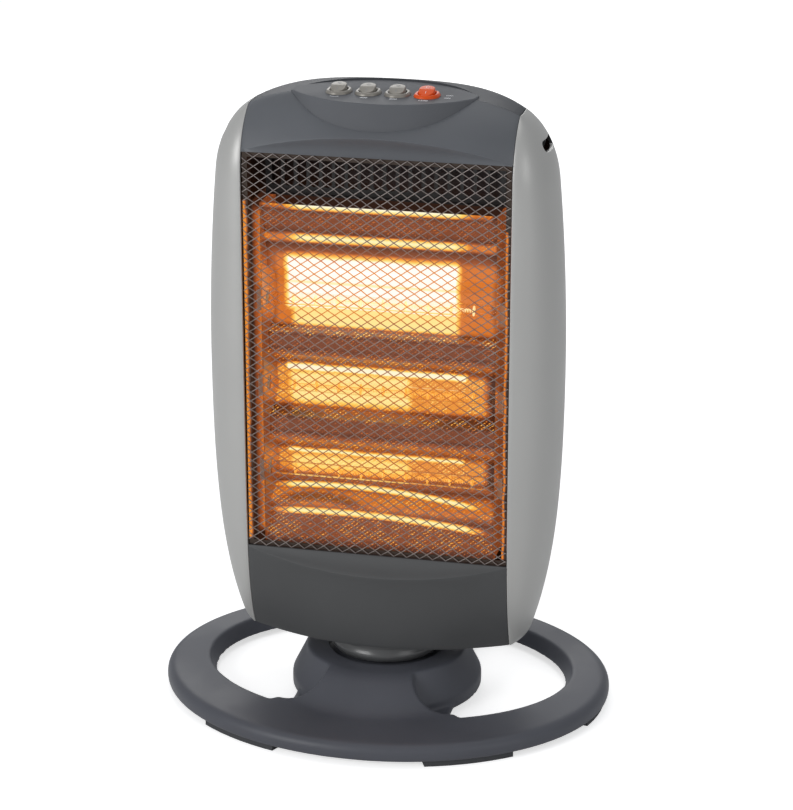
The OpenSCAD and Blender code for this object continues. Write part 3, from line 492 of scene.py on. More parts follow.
def shell(name, outer, inner):
    """A closed shell between two grids of points of the same size."""
    rows, cols = len(outer), len(outer[0])
    points = [p for row in outer for p in row] + [p for row in inner for p in row]
    n = rows * cols
    faces = []
    for r in range(rows - 1):
        for c in range(cols - 1):
            a = r * cols + c
            faces.append((a, a + 1, a + cols + 1, a + cols))
            faces.append((n + a, n + a + cols, n + a + cols + 1, n + a + 1))
    for c in range(cols - 1):
        a, e = c, (rows - 1) * cols + c
        faces.append((a + 1, a, n + a, n + a + 1))
        faces.append((e, e + 1, n + e + 1, n + e))
    for r in range(rows - 1):
        a, b = r * cols, r * cols + cols - 1
        faces.append((a, a + cols, n + a + cols, n + a))
        faces.append((b + cols, b, n + b, n + b + cols))
    return clean(new_piece(name, points, faces))


def loft(name, loops, ring=False):
    """Skin over closed loops of the same number of points; ring joins the last loop to the first."""
    n = len(loops[0])
    points = [p for loop in loops for p in loop]
    faces = []
    for i in range(len(loops) if ring else len(loops) - 1):
        low, high = i * n, (i + 1) % len(loops) * n
        for k in range(n):
            m = (k + 1) % n
            faces.append((low + k, low + m, high + m, high + k))
    if not ring:
        faces.append(tuple(range(n))[::-1])
        faces.append(tuple((len(loops) - 1) * n + k for k in range(n)))
    return clean(new_piece(name, points, faces))


def lathe(name, profile, segments=96, at=(0, 0)):
    """Turns a closed profile of [radius, height] about the Z axis."""
    turns = [2 * math.pi * k / segments for k in range(segments)]
    loops = [[(at[0] + r * math.cos(a), at[1] + r * math.sin(a), z) for a in turns] for r, z in profile]
    return loft(name, loops, ring=True)


def prism(name, outline, low, high):
    """A plain block over a closed outline of [x, y]; used as a cutter or as a start."""
    return loft(name, [[(x, y, low) for x, y in outline], [(x, y, high) for x, y in outline]])


def block(name, low, high):
    """A box between two corners, for cutters and as the start of a bevelled plate."""
    return prism(name, [(low[0], low[1]), (high[0], low[1]), (high[0], high[1]), (low[0], high[1])],
                 low[2], high[2])


def stadium(width, length, per_end=12, centre=(0, 0)):
    """An oval with straight sides that lie along Y."""
    r, h = width / 2, (length - width) / 2
    points = []
    for end, start in ((1, 0), (-1, 180)):
        for k in range(per_end + 1):
            a = math.radians(start + 180 * k / per_end)
            points.append((centre[0] + r * math.cos(a), centre[1] + end * h + r * math.sin(a)))
    return points


def join(name, parts):
    """Several objects as one, under one name."""
    bm = bmesh.new()
    for part in parts:
        bm.from_mesh(part.data)
        bpy.data.objects.remove(part)
    mesh = bpy.data.meshes.new(name)
    bm.to_mesh(mesh)
    bm.free()
    obj = bpy.data.objects.new(name, mesh)
    scene.collection.objects.link(obj)
    return obj


# %% The head's outline rule
BELLY, HEAD_LOW, HEAD_HIGH = 262.0, 52.0, 452.0
SHOULDER, SHOULDER_H = 405.0, 50.0
FRONT_HALF = 98.0
WALL = 2.5
SEAM = 0.2                     # half the gap between neighbouring covers


def shoulder(z, radius):
    """How far a round shoulder has drawn in at this height."""
    if z <= SHOULDER:
        return 0.0
    return radius * (1 - math.sqrt(max(0.0, 1 - ((z - SHOULDER) / SHOULDER_H) ** 2)))


def rise(z):
    """Share of the way from the belly to the foot or to the top."""
    return (BELLY - z) / (BELLY - HEAD_LOW) if z < BELLY else (z - BELLY) / (HEAD_HIGH - BELLY)


def lower_corner(z):
    """The small rounding at the panels' lower outer corner."""
    up = min(1.0, max(0.0, (z - HEAD_LOW + 0.5) / 8.5))
    return 8 * (1 - math.sqrt(1 - (1 - up) ** 2))


def half_width(z):
    if z < BELLY:
        return 131.7 - 9.5 * rise(z) ** 2 - 14.7 * rise(z) ** 4 - lower_corner(z)
    return 131.7 - 12.4 * rise(z) ** 2 - shoulder(z, 31)


def front_edge(z):
    if z < BELLY:
        return -39 + 0.9 * rise(z) ** 2 + 17.7 * rise(z) ** 6
    return -39 + 2 * rise(z) ** 2 + shoulder(z, 40)


def back_edge(z):
    if z < BELLY:
        return 44 - 3 * rise(z) ** 2 - 17 * rise(z) ** 6
    return 44 - 2 * rise(z) ** 2 - shoulder(z, 42)


def bulge(x, power=2.0):
    """1 in the middle of the front, 0 at its sides."""
    return 1 - (abs(x) / FRONT_HALF) ** power


def inward(point, core_z):
    """A point one wall thickness further in, towards a line through the head."""
    to_core = Vector((0, -2 - point[1], core_z - point[2])).normalized() * WALL
    return (point[0], point[1] + to_core.y, point[2] + to_core.z)


def across(cols):
    """Places across the front between the two side panels."""
    return [(FRONT_HALF - SEAM) * (2 * c / (cols - 1) - 1) for c in range(cols)]


print("half width at the belly and the foot:", half_width(BELLY), round(half_width(HEAD_LOW), 1))

# %% [markdown]
# ## Silver side panels
# Each panel is a half ellipse in plan that swells to the belly and pinches in at the foot, like
# the stave of a barrel. It is injection moulded and painted satin silver. The rule gives every
# level its own ellipse, so one grid holds the whole stave. Near the top a round-ended slot goes
# through to a dark insert, so the slot is cut and the insert is a piece of its own. The paint is
# only outside: the panel's inner faces get a second, black material.

# %% Side panels
SIDE_ROWS, SIDE_COLS = 88, 35


def side_point(z, a, set_in, side):
    width = half_width(z) - FRONT_HALF
    in_x = min(set_in, 0.6 * width)
    y = front_edge(z) if a < 0 else back_edge(z)
    in_y = min(set_in, 0.3 * abs(y))
    x = side * (FRONT_HALF + SEAM + max(0.3, width - in_x) * math.cos(a))
    return (x, (abs(y) - in_y) * math.sin(a), z)


def side_grid(set_in, side):
    shares = [(1 - math.cos(math.pi * r / (SIDE_ROWS - 1))) / 2 for r in range(SIDE_ROWS)]
    levels = [mix(HEAD_LOW, HEAD_HIGH, share) for share in shares]
    turns = [math.radians(-90 + 180 * c / (SIDE_COLS - 1)) for c in range(SIDE_COLS)]
    return [[side_point(z, a, set_in, side) for a in turns] for z in levels]


SLOT_MIDDLE = (1.0, HEAD_HIGH - 21)
SLOT_LENGTH, SLOT_WIDTH = 30.0, 8.0
# the insert's outlines: how much wider than the slot, and how far out from the middle
INSERT_STEPS = ((2.4, 110.0), (2.4, 111.2), (-1.2, 112.2), (-2.6, 111.4))


def slot_outline(wider, side, x):
    """The slot's outline in the panel's side view, as points on a plane of constant X."""
    flat = stadium(SLOT_WIDTH + wider, SLOT_LENGTH + wider, 10)
    return [(side * x, SLOT_MIDDLE[0] + v, SLOT_MIDDLE[1] + u) for u, v in flat]


for side, label in ((-1, "left"), (1, "right")):
    panel = shell(f"{label}_silver_panel", side_grid(0, side), side_grid(WALL, side))
    cut(panel, loft("slot_cutter", [slot_outline(0, side, x) for x in (100, 132)]))
    round_edges(panel, 0.5)
    finish_piece(panel, silver_paint, "head", "satin_silver", f"{label}_side_panel")
    panel.data.materials.append(deep_black)
    # faces that look back towards the head's middle are the unpainted inside
    for face in panel.data.polygons:
        away = Vector((face.center.x - side * FRONT_HALF * MM, face.center.y, 0))
        face.material_index = int(face.normal.dot(away) < -0.3 * away.length)
    insert = loft(f"{label}_slot_insert", [slot_outline(wider, side, x) for wider, x in INSERT_STEPS])
    finish_piece(insert, deep_black, "head", "black_plastic")
print("side panels done")

# %% [markdown]
# ## Front and rear covers
# Above the guard, the cover steps out to a bowed ridge and rolls back to the crest of the head.
# Below the guard a second cover mirrors that ridge and runs down to a boat-shaped lower edge. The
# rear cover closes everything from the crest to the foot, and has three rows of vents, four screw
# seats and the hole of the mains inlet. Each cover is a shell over rows of points, so a row is the
# only thing that needs a rule.

# %% Top front cover
POD_TOP = 463.0
CREST = POD_TOP + 1.5
GUARD_FACE, GUARD_LOW, GUARD_HIGH = 37.0, 122.0, 422.0
RIDGE_REACH, RIDGE_RISE = 49.0, 17.5
POD_HALF, POD_FRONT, POD_BACK, TIP_Y = 70.0, 44.5, 34.0, -6.0
crest_front, crest_back = front_edge(HEAD_HIGH), back_edge(HEAD_HIGH)


def lens_arc(f, power):
    """Falls from 1 to 0 along a rounded corner; power 2 is a circle, 1 a straight line."""
    return max(0.0, 1 - f ** power) ** (1 / power)


def top_point(x, f):
    """On the roll from the ridge at f = 0 to the crest at f = 1."""
    z_edge = mix(GUARD_HIGH + 1, HEAD_HIGH, f)
    z_mid = mix(GUARD_HIGH + RIDGE_RISE, CREST, f)
    y_mid = crest_front - (RIDGE_REACH + crest_front) * lens_arc(f, 1.12)
    y = mix(front_edge(z_edge), y_mid, bulge(x))
    return (x, y, mix(z_edge, z_mid, mix(bulge(x), bulge(x, 4), f)))


def crescent(edge, ridge, steps, sag):
    """Rows from the guard's edge to the ridge, hollowed a little, with a small lip at the ridge."""
    rows = []
    for i in range(steps):
        t = i / steps
        row = []
        for e, r in zip(edge, ridge):
            hollow = sag * math.sin(math.pi * min(1.0, t * 1.05)) * abs(e[2] - r[2]) / RIDGE_RISE
            row.append((e[0], mix(e[1], r[1], t) + hollow, mix(e[2], r[2], t)))
        rows.append(row)
    return rows


def pod_outline(grow=0.0, steps=40):
    """The lens of the pod: two arcs that meet at blunt tips."""
    def arc(reach):
        return (POD_HALF ** 2 + reach ** 2) / (2 * reach)
    front_r, back_r = arc(POD_FRONT + TIP_Y), arc(POD_BACK - TIP_Y)
    front_c = TIP_Y - (POD_FRONT + TIP_Y) + front_r
    back_c = POD_BACK - back_r
    half = POD_HALF - 3 + grow
    xs = [half * (2 * k / steps - 1) for k in range(steps + 1)]
    front = [(x, front_c - math.sqrt((front_r + grow) ** 2 - x * x)) for x in xs]
    back = [(x, back_c + math.sqrt((back_r + grow) ** 2 - x * x)) for x in reversed(xs)]
    return front + back


COLS = 65
xs = across(COLS)
ridge_row = [top_point(x, 0.0) for x in xs]
edge_row = [(x, -GUARD_FACE, GUARD_HIGH + 0.4) for x in xs]
ROLL = 26
outer = crescent(edge_row, ridge_row, 7, 1.6)
outer += [[top_point(x, 1 - math.cos(math.pi / 2 * r / ROLL)) if r else top_point(x, 0.0) for x in xs]
          for r in range(ROLL + 1)]
inner = [[inward(p, GUARD_HIGH + 4) for p in row] for row in outer]
top_cover = shell("top_front_cover", outer, inner)
# the cutter starts just over the ridge, so that the crescent under it stays whole
POD_SPACE_LOW, POD_SPACE_HIGH = 440.2, 493
cut(top_cover, prism("pod_space", pod_outline(SEAM), POD_SPACE_LOW, POD_SPACE_HIGH))
round_edges(top_cover, 0.35, angle=26)
finish_piece(top_cover, upper_grey, "head", "dark_plastic", "top_front_panel", angle=26)

# %% Lower front cover


def lower_point(x, f):
    z_ridge = GUARD_LOW - 1 - (RIDGE_RISE - 4) * bulge(x)
    z = mix(z_ridge, HEAD_LOW, f)
    out = 10.5 + 15.5 * max(0.0, (107 - z) / (107 - HEAD_LOW)) ** 1.5
    return (x, front_edge(z) - out * bulge(x), z)


ridge_row = [lower_point(x, 0.0) for x in xs]
edge_row = [(x, -GUARD_FACE, GUARD_LOW - 0.4) for x in xs]
outer = crescent(edge_row, ridge_row, 7, 1.0) + [[lower_point(x, r / 24) for x in xs] for r in range(25)]
inner = [[(p[0], p[1] + WALL, p[2]) for p in row] for row in outer]
lower_cover = round_edges(shell("lower_front_cover", outer, inner), 0.35, angle=26)
finish_piece(lower_cover, lower_grey, "head", "dark_plastic", "lower_front_panel", angle=26)
print("front covers done")

# %% Rear cover with its vents and screw seats
FOOT_Z = 110.0


def rear_crest(x, f):
    return (x, mix(crest_front + 0.4, mix(crest_back, POD_BACK - 1, bulge(x)), f),
            mix(HEAD_HIGH, CREST, bulge(x, 4)))


def rear_shoulder(x, degrees):
    a = math.radians(degrees)
    s, c = max(0.0, math.sin(a)), max(0.0, math.cos(a))
    z_edge = mix(SHOULDER, HEAD_HIGH, s)
    return (x, mix(back_edge(z_edge), mix(POD_BACK - 1, 46, c ** 0.8), bulge(x)),
            mix(z_edge, mix(SHOULDER, CREST, s ** 0.8), bulge(x, 4)))


def rear_back(x, z):
    return (x, back_edge(z) + (2 + 19 * max(0.0, (FOOT_Z - z) / (FOOT_Z - HEAD_LOW)) ** 2) * bulge(x), z)


def through_back(outline, at, low=30.0, high=60.0):
    """A cutter along Y over an outline of [across, up] round a place on the back."""
    return loft("bore", [[(at[0] + u, y, at[1] + v) for u, v in outline] for y in (low, high)])


rear_rows = [lambda x, f=f: rear_crest(x, f / 8) for f in range(8)]
rear_rows += [lambda x, k=k: rear_shoulder(x, 90 - 90 * k / 22) for k in range(22)]
rear_rows += [lambda x, k=k: rear_back(x, mix(SHOULDER, FOOT_Z, k / 26)) for k in range(26)]
rear_rows += [lambda x, k=k: rear_back(x, mix(FOOT_Z, HEAD_LOW, k / 18)) for k in range(19)]
rear_xs = across(45)
outer = [[row(x) for x in rear_xs] for row in rear_rows]
inner = [[inward(p, min(425, max(75, p[2]))) for p in row] for row in outer]
rear_cover = shell("rear_cover", outer, inner)
cutters = [prism("pod_space", pod_outline(SEAM), 433, POD_SPACE_HIGH)]
VENT_ROWS = ((344.0, 30.0), (262.0, 44.0), (118.0, 30.0))    # middle height and length
for level, length in VENT_ROWS:
    for i in range(-5, 6):
        cutters.append(through_back(stadium(4.4, length, 6), (9.0 * i, level)))
SCREWS = [(x, z) for x in (-62.0, 62.0) for z in (150.0, 352.0)]
circle = [(math.cos(2 * math.pi * k / 32), math.sin(2 * math.pi * k / 32)) for k in range(32)]
for x, z in SCREWS:
    seat = rear_back(x, z)[1] - 1.1
    cutters.append(through_back([(3.8 * u, 3.8 * v) for u, v in circle], (x, z), seat, 60))
    cutters.append(through_back([(2.0 * u, 2.0 * v) for u, v in circle], (x, z), 32, 60))
BUSH = (0.0, 84.0)
bush_y = rear_back(*BUSH)[1]
cutters.append(through_back([(9.2 * u, 9.2 * v) for u, v in circle], BUSH, bush_y - 0.55, 60))
cutters.append(through_back([(6.0 * u, 6.0 * v) for u, v in circle], BUSH, 32, 60))
cut(rear_cover, *cutters)
round_edges(rear_cover, 0.3, segments=1, angle=40)
finish_piece(rear_cover, rear_grey, "head", "dark_plastic", "rear_housing", angle=34)
print("rear cover:", len(rear_cover.data.polygons), "faces")

# %% [markdown]
# ## Control pod
# The pod is a lens-shaped cap between the two covers. Its upper edge is broken by a small bevel
# that catches a thin line of light. Four holes let the switches through. A loft whose upper
# outlines draw in gives the bevel, and the inside and the holes are cut away.

# %% Pod
SWITCH_PITCH, SWITCH_Y = 21.2, -11.0
SWITCH_X = [(i - 1.5) * SWITCH_PITCH for i in range(4)]
pod_levels = [(0.0, 441.0), (0.0, POD_TOP - 1.1), (-0.3, POD_TOP - 0.4), (-0.9, POD_TOP)]
pod = loft("control_pod_cap", [[(x, y, z) for x, y in pod_outline(grow, 72)] for grow, z in pod_levels])
cutters = [prism("pod_inside", pod_outline(-2.5, 72), 440, POD_TOP - 2.4)]
cutters += [prism("switch_hole", stadium(16.2, 20.2, 20, (x, SWITCH_Y)), 455, 470) for x in SWITCH_X]
cut(pod, *cutters)
round_edges(pod, 0.2, segments=1, angle=50)
finish_piece(pod, pod_grey, "head", "dark_plastic", "control_pod", angle=24)
print("pod:", len(pod.data.polygons), "faces")

# %% [markdown]
# ## Switches
# Each switch is a rocker in an oval rim. The rim slopes up to a narrow flat top, so it reads as a
# bright ring from above. The rocker has two faces that slope away from a ridge, and it is shown
# with its back half up, as when it is off. The last switch is orange and turns the heater on.

# %% Rims and rockers
# width, length and height above the pod, from inside the pod up, over the rim and down again
RIM = [(15.8, 19.8, -11), (15.8, 19.8, 0.05), (18.2, 22.2, 0.05), (18.2, 22.2, 0.4), (17.7, 21.7, 1.1),
       (16.6, 20.7, 2.0), (15.8, 20.0, 2.35), (14.4, 19.0, 2.4), (13.0, 18.1, 2.2), (12.2, 17.6, 1.7),
       (12.0, 17.4, 1.0), (12.0, 17.4, -9)]
RIDGE_H, FACE_SLOPE, TILT = 5.4, math.radians(6.5), math.radians(15)


def rocker_shape(name):
    """Oval body under two sloping faces, as it lies before it is tilted and put in its rim."""
    body = prism(name, stadium(11, 15, 20), -3.6, RIDGE_H + 1)
    for side in (-1, 1):
        wedge = block("wedge", (-10, -20, 0), (10, 20, 20))
        for v in wedge.data.vertices:
            y, z = v.co.y, v.co.z
            v.co.y = y * math.cos(side * FACE_SLOPE) - z * math.sin(side * FACE_SLOPE)
            v.co.z = y * math.sin(side * FACE_SLOPE) + z * math.cos(side * FACE_SLOPE) + RIDGE_H * MM
        cut(body, wedge)
    return round_edges(body, 0.55, segments=3, angle=5)


def tilt_into_place(obj, x):
    """Turns a rocker, or a mark on it, back by its tilt and moves it over its pin."""
    for v in obj.data.vertices:
        y, z = v.co.y, v.co.z
        v.co.x += x * MM
        v.co.y = y * math.cos(TILT) - z * math.sin(TILT) + SWITCH_Y * MM
        v.co.z = y * math.sin(TILT) + z * math.cos(TILT) + POD_TOP * MM
    return obj


for i, x in enumerate(SWITCH_X, 1):
    paint, slot_name = (switch_orange, "switch_orange") if i == 4 else (switch_grey, "switch_silver")
    loops = [[(u, v, POD_TOP + z) for u, v in stadium(w, l, 20, (x, SWITCH_Y))] for w, l, z in RIM]
    rim = loft(f"switch_rim_{i}", loops, ring=True)
    finish_piece(rim, paint, "head", slot_name, f"switch_bezel_{i}", angle=40)
    lever = tilt_into_place(rocker_shape(f"switch_lever_{i}"), x)
    finish_piece(lever, paint, f"rocker_{i}", slot_name, f"rocker_{i}", angle=30)

    # a ring and a bar on the two faces, the common marks for off and on
    ring = lathe("off_mark", [(1.05, 0), (1.35, 0), (1.35, 0.08), (1.05, 0.08)], 28, (0, 3.9))
    bar = block("on_mark", (-0.18, -5.1, 0), (0.18, -2.7, 0.08))
    mark = join(f"switch_mark_{i}", [ring, bar])
    for v in mark.data.vertices:
        v.co.z += (RIDGE_H - 0.02) * MM - abs(v.co.y) * math.tan(FACE_SLOPE)
    tilt_into_place(mark, x)
    finish_piece(mark, pale_relief if i < 4 else print_white, f"rocker_{i}", slot_name)
print("switches at x =", SWITCH_X)

# %% [markdown]
# ## Printed marks
# Small white marks are printed on the pod in front of the switches: a swing sign, three power
# steps, and ON and OFF beside the main switch. Text starts as a curve object, becomes a mesh, and
# is then moved so that its place is in its vertices.

# %% Prints


def printed_text(text, size, x, y):
    """Raised ink that lies on the pod's top; size and place in millimetres."""
    curve = bpy.data.curves.new("text", "FONT")
    curve.body = text
    curve.size = size * MM
    curve.align_x = "CENTER"
    curve.align_y = "CENTER"
    curve.extrude = 0.03 * MM
    curve.offset = 0.07 * MM
    carrier = bpy.data.objects.new("text", curve)
    scene.collection.objects.link(carrier)
    bpy.context.view_layer.update()
    mesh = bpy.data.meshes.new_from_object(carrier.evaluated_get(bpy.context.evaluated_depsgraph_get()))
    bpy.data.objects.remove(carrier)
    for v in mesh.vertices:
        v.co += Vector((x, y, POD_TOP + 0.03)) * MM
    obj = bpy.data.objects.new("text", mesh)
    scene.collection.objects.link(obj)
    return obj


def swing_sign(x, y, radius=3.2):
    """An arc with an arrow at each end: the head swings from side to side."""
    arc = []
    for radius_now, order in ((radius, range(13)), (radius - 0.45, reversed(range(13)))):
        for k in order:
            a = math.radians(-140 + 100 * k / 12)
            arc.append((x + radius_now * math.cos(a), y + 2 + radius_now * math.sin(a)))
    parts = [prism("arc", arc, POD_TOP, POD_TOP + 0.06)]
    for side in (-1, 1):
        a = math.radians(-90 + side * 50)
        back = (x + (radius - 0.22) * math.cos(a), y + 2 + (radius - 0.22) * math.sin(a))
        tip = (back[0] + side * 0.75, back[1] + 0.85)
        arrow = [tip, (back[0] - 0.85, back[1] + 0.1), (back[0] + 0.75, back[1] - 0.75)]
        parts.append(prism("arrow", arrow, POD_TOP, POD_TOP + 0.06))
    return [clean(part) for part in parts]


PRINT_Y = SWITCH_Y - 14.6
prints = swing_sign(SWITCH_X[0], PRINT_Y)
for text, x in zip(("400", "800", "1200"), SWITCH_X[1:]):
    prints.append(printed_text(text, 3.6, x, PRINT_Y))
prints.append(printed_text("OFF", 2.8, SWITCH_X[3] + 15.2, SWITCH_Y + 4.2))
prints.append(printed_text("ON", 2.8, SWITCH_X[3] + 15.2, SWITCH_Y - 3.6))
finish_piece(join("pod_prints", prints), print_white, "head", "dark_plastic", angle=60)
print("prints at y =", round(PRINT_Y, 1))

# %% [markdown]
# ## Light on the bright sheet
# The tubes glow and the folded sheet behind them multiplies that glow into bands: white hot in the
# top trough, yellow in the middle one and golden in the lowest, with brown ridges between them and
# thin lines where a fold mirrors a tube. Short slanting glints lie over the darker places, where
# the sheet mirrors the guard. None of this is traced from the tubes: it is written as light on the
# front of the sheet, and the sheet stays a metal.

# %% Where a point of the sheet counts
# The light is laid out as it looks from a little above and to the right, and only from there does
# it look as it should. On a deep sheet it has to move with the depth, along that direction: the
# two slopes are close to its tangents.
LEAN, LEAN_FROM = 0.356, 0.010       # further back counts as higher; no change at y = -0.010
DRIFT, DRIFT_FROM = 0.2335, 0.040    # and as further to the right; no change at y = -0.040


def band_place(tree):
    """The shifted X and the shifted height of a surface point, in metres."""
    _, x, y, z = object_xyz(tree)
    drifted = maths(tree, "MULTIPLY_ADD", maths(tree, "ADD", y, DRIFT_FROM), DRIFT, x)
    return drifted, maths(tree, "MULTIPLY_ADD", maths(tree, "ADD", y, LEAN_FROM), LEAN, z)


def soft_inside(tree, value, start, end, softness):
    """1 between start and end, with a ramp of a given width at both."""
    inside = maths(tree, "MINIMUM", maths(tree, "SUBTRACT", value, start),
                   maths(tree, "SUBTRACT", end, value))
    return maths(tree, "MULTIPLY_ADD", maths(tree, "DIVIDE", inside, softness), 0.5, 0.5, clamp=True)


# %% A band with soft, slightly wavy edges
band_group, b_in, b_out = shader_group("trough_light", {
    "Bottom": 0.28, "Top": 0.34, "Start": -0.068, "End": 0.065, "Softness": 0.003}, ["Light"])
x, h = band_place(band_group)
given = b_in.outputs
unrest = noise(band_group, object_xyz(band_group)[0], 70.0, 3.0)
wavy = maths(band_group, "MULTIPLY_ADD", unrest, 0.003, -0.0015)
upright = soft_inside(band_group, maths(band_group, "ADD", h, wavy),
                      given["Bottom"], given["Top"], given["Softness"])
level = soft_inside(band_group, maths(band_group, "ADD", x, wavy),
                    given["Start"], given["End"], given["Softness"])
wire(band_group, maths(band_group, "MULTIPLY", upright, level), b_out.inputs["Light"])

# %% A thin line that bows away from its middle
line_group, l_in, l_out = shader_group("bright_line", {
    "Height": 0.3, "Thickness": 0.002, "Bow": 0.0, "Middle": -0.02,
    "Start": -0.068, "End": 0.065}, ["Line"])
x, h = band_place(line_group)
given = l_in.outputs
part = maths(line_group, "DIVIDE", maths(line_group, "SUBTRACT", x, given["Middle"]), 0.075)
bowed = maths(line_group, "MULTIPLY_ADD", maths(line_group, "MULTIPLY", part, part),
              maths(line_group, "MULTIPLY", given["Bow"], -1.0), given["Height"])
offset = maths(line_group, "DIVIDE", maths(line_group, "SUBTRACT", h, bowed), given["Thickness"])
falloff = maths(line_group, "SUBTRACT", 1.0, maths(line_group, "MULTIPLY", offset, offset), clamp=True)
ends = soft_inside(line_group, x, given["Start"], given["End"], 0.012)
wire(line_group, maths(line_group, "MULTIPLY", falloff, ends), l_out.inputs["Line"])

# %% Glints
# Short slanting dashes: thin in one slanting direction, broken up in the other.
glint_group, s_in, s_out = shader_group("guard_glints", {"Pitch": 0.0040, "Rise": 0.0030}, ["Glint"])
x, h = band_place(glint_group)
u = maths(glint_group, "DIVIDE", x, s_in.outputs["Pitch"])
v = maths(glint_group, "DIVIDE", h, s_in.outputs["Rise"])
jitter = maths(glint_group, "MULTIPLY", noise(glint_group, object_xyz(glint_group)[0], 420.0, 1.0), 0.9)
marks = []
for kind, low, high in (("SUBTRACT", 0.30, 0.46), ("ADD", 0.10, 0.26)):
    turn = maths(glint_group, "FRACT", maths(glint_group, "ADD", maths(glint_group, kind, u, v), jitter))
    off_middle = maths(glint_group, "ABSOLUTE", maths(glint_group, "SUBTRACT", turn, 0.5))
    marks.append(ramp_between(glint_group, off_middle, low, high))
spots = noise(glint_group, add(glint_group, "ShaderNodeTexCoord").outputs["Object"], 120.0, 3.0, 0.6)
glint = maths(glint_group, "MULTIPLY", maths(glint_group, "MULTIPLY", *marks),
              ramp_between(glint_group, spots, 0.34, 0.60))
wire(glint_group, glint, s_out.inputs["Glint"])

# %% The heat colours
HEAT = [(0.00, (30, 17, 11)), (0.12, (82, 40, 22)), (0.26, (150, 76, 36)),
        (0.40, (212, 116, 44)), (0.55, (246, 168, 62)), (0.70, (255, 212, 104)),
        (0.84, (255, 238, 166)), (1.00, (255, 253, 243))]


def heat_colour(tree, amount):
    """Dark brown through orange and yellow to white."""
    ramp = add(tree, "ShaderNodeValToRGB")
    stops = ramp.color_ramp.elements
    while len(stops) < len(HEAT):
        stops.new(0.5)
    for stop, (at, colour) in zip(stops, HEAT):
        stop.position = at
        stop.color = (*linear(*colour), 1)
    wire(tree, amount, ramp.inputs["Fac"])
    return ramp.outputs["Color"]


def heat_field(tree, bands, lines, shades, floor_level, glints):
    """The brightest of all bands and lines less the shades, over a dim level with glints."""
    total = floor_level
    speck = 0.0
    for weight, bottom, top, start, end, softness, glinting in bands:
        light = place_group(tree, band_group, Bottom=bottom, Top=top, Start=start, End=end,
                            Softness=softness).outputs["Light"]
        total = maths(tree, "MAXIMUM", maths(tree, "MULTIPLY", light, weight), total)
        if glinting:
            speck = maths(tree, "MAXIMUM", maths(tree, "MULTIPLY", light, glinting), speck)
    for weight, height, thickness, bow, middle, start, end in lines:
        line = place_group(tree, line_group, Height=height, Thickness=thickness, Bow=bow, Middle=middle,
                           Start=start, End=end).outputs["Line"]
        total = maths(tree, "MAXIMUM", total, maths(tree, "MULTIPLY", line, weight))
    for weight, height, thickness, bow, middle, start, end in shades:
        line = place_group(tree, line_group, Height=height, Thickness=thickness, Bow=bow, Middle=middle,
                           Start=start, End=end).outputs["Line"]
        total = maths(tree, "MULTIPLY", total, maths(tree, "MULTIPLY_ADD", line, -weight, 1.0))
    mark = place_group(tree, glint_group).outputs["Glint"]
    room_left = maths(tree, "SUBTRACT", 0.9, total, clamp=True)
    amount = maths(tree, "MAXIMUM", speck, glints)
    added = maths(tree, "MULTIPLY", maths(tree, "MULTIPLY", mark, amount), room_left)
    return maths(tree, "ADD", total, added)


# %% The pattern on the sheet
# weight, bottom, top, start, end, softness, how much it glints; metres but for the first and last
BANDS = [
    # top trough and its halo
    (1.00, 0.3000, 0.3420, -0.0677, 0.0646, 0.0040, 0),
    (0.78, 0.2862, 0.3060, -0.0630, 0.0646, 0.0040, 0),
    (0.40, 0.2862, 0.3440, -0.0770, 0.0920, 0.0050, 0),
    (0.30, 0.2862, 0.3480, -0.0840, 0.0920, 0.0080, 0),
    # ridge under it
    (0.22, 0.2800, 0.2870, -0.0900, 0.0920, 0.0020, 0.9),
    (0.17, 0.2680, 0.2816, -0.0900, 0.0920, 0.0030, 0.25),
    (0.30, 0.2590, 0.2680, -0.0900, 0.0920, 0.0050, 0.7),
    # middle trough
    (0.92, 0.2523, 0.2586, -0.0677, 0.0706, 0.0018, 0),
    (0.78, 0.2250, 0.2560, -0.0677, 0.0304, 0.0060, 0),
    (0.62, 0.2265, 0.2560, -0.0600, 0.0560, 0.0260, 0.6),
    (0.47, 0.2250, 0.2586, -0.0770, 0.0860, 0.0040, 0.7),
    # ridge under it
    (0.12, 0.2150, 0.2246, -0.0900, 0.0920, 0.0030, 0.8),
    (0.17, 0.2030, 0.2169, -0.0900, 0.0920, 0.0030, 0.25),
    (0.30, 0.1920, 0.2030, -0.0900, 0.0920, 0.0040, 0.6),
    # lowest trough
    (0.86, 0.1874, 0.1920, -0.0677, 0.0690, 0.0018, 0),
    (0.72, 0.1715, 0.1900, -0.0677, 0.0304, 0.0060, 0),
    (0.58, 0.1725, 0.1900, -0.0600, 0.0560, 0.0260, 0.6),
    (0.45, 0.1715, 0.1920, -0.0770, 0.0860, 0.0040, 0.7),
    # apron at the bottom
    (0.24, 0.1640, 0.1720, -0.0860, 0.0920, 0.0030, 0.2),
    (0.36, 0.1430, 0.1630, -0.0860, 0.0920, 0.0050, 0.5),
    (0.20, 0.1180, 0.1430, -0.0860, 0.0920, 0.0050, 0.6),
    # lip at the top
    (0.19, 0.3560, 0.3760, -0.0860, 0.0920, 0.0060, 0.3),
    (0.40, 0.3738, 0.3795, -0.0840, 0.0860, 0.0025, 0.3),
    (0.40, 0.3500, 0.3570, -0.0840, 0.0900, 0.0020, 0.4),
    (0.09, 0.3800, 0.3900, -0.0860, 0.0920, 0.0030, 0.2),
]
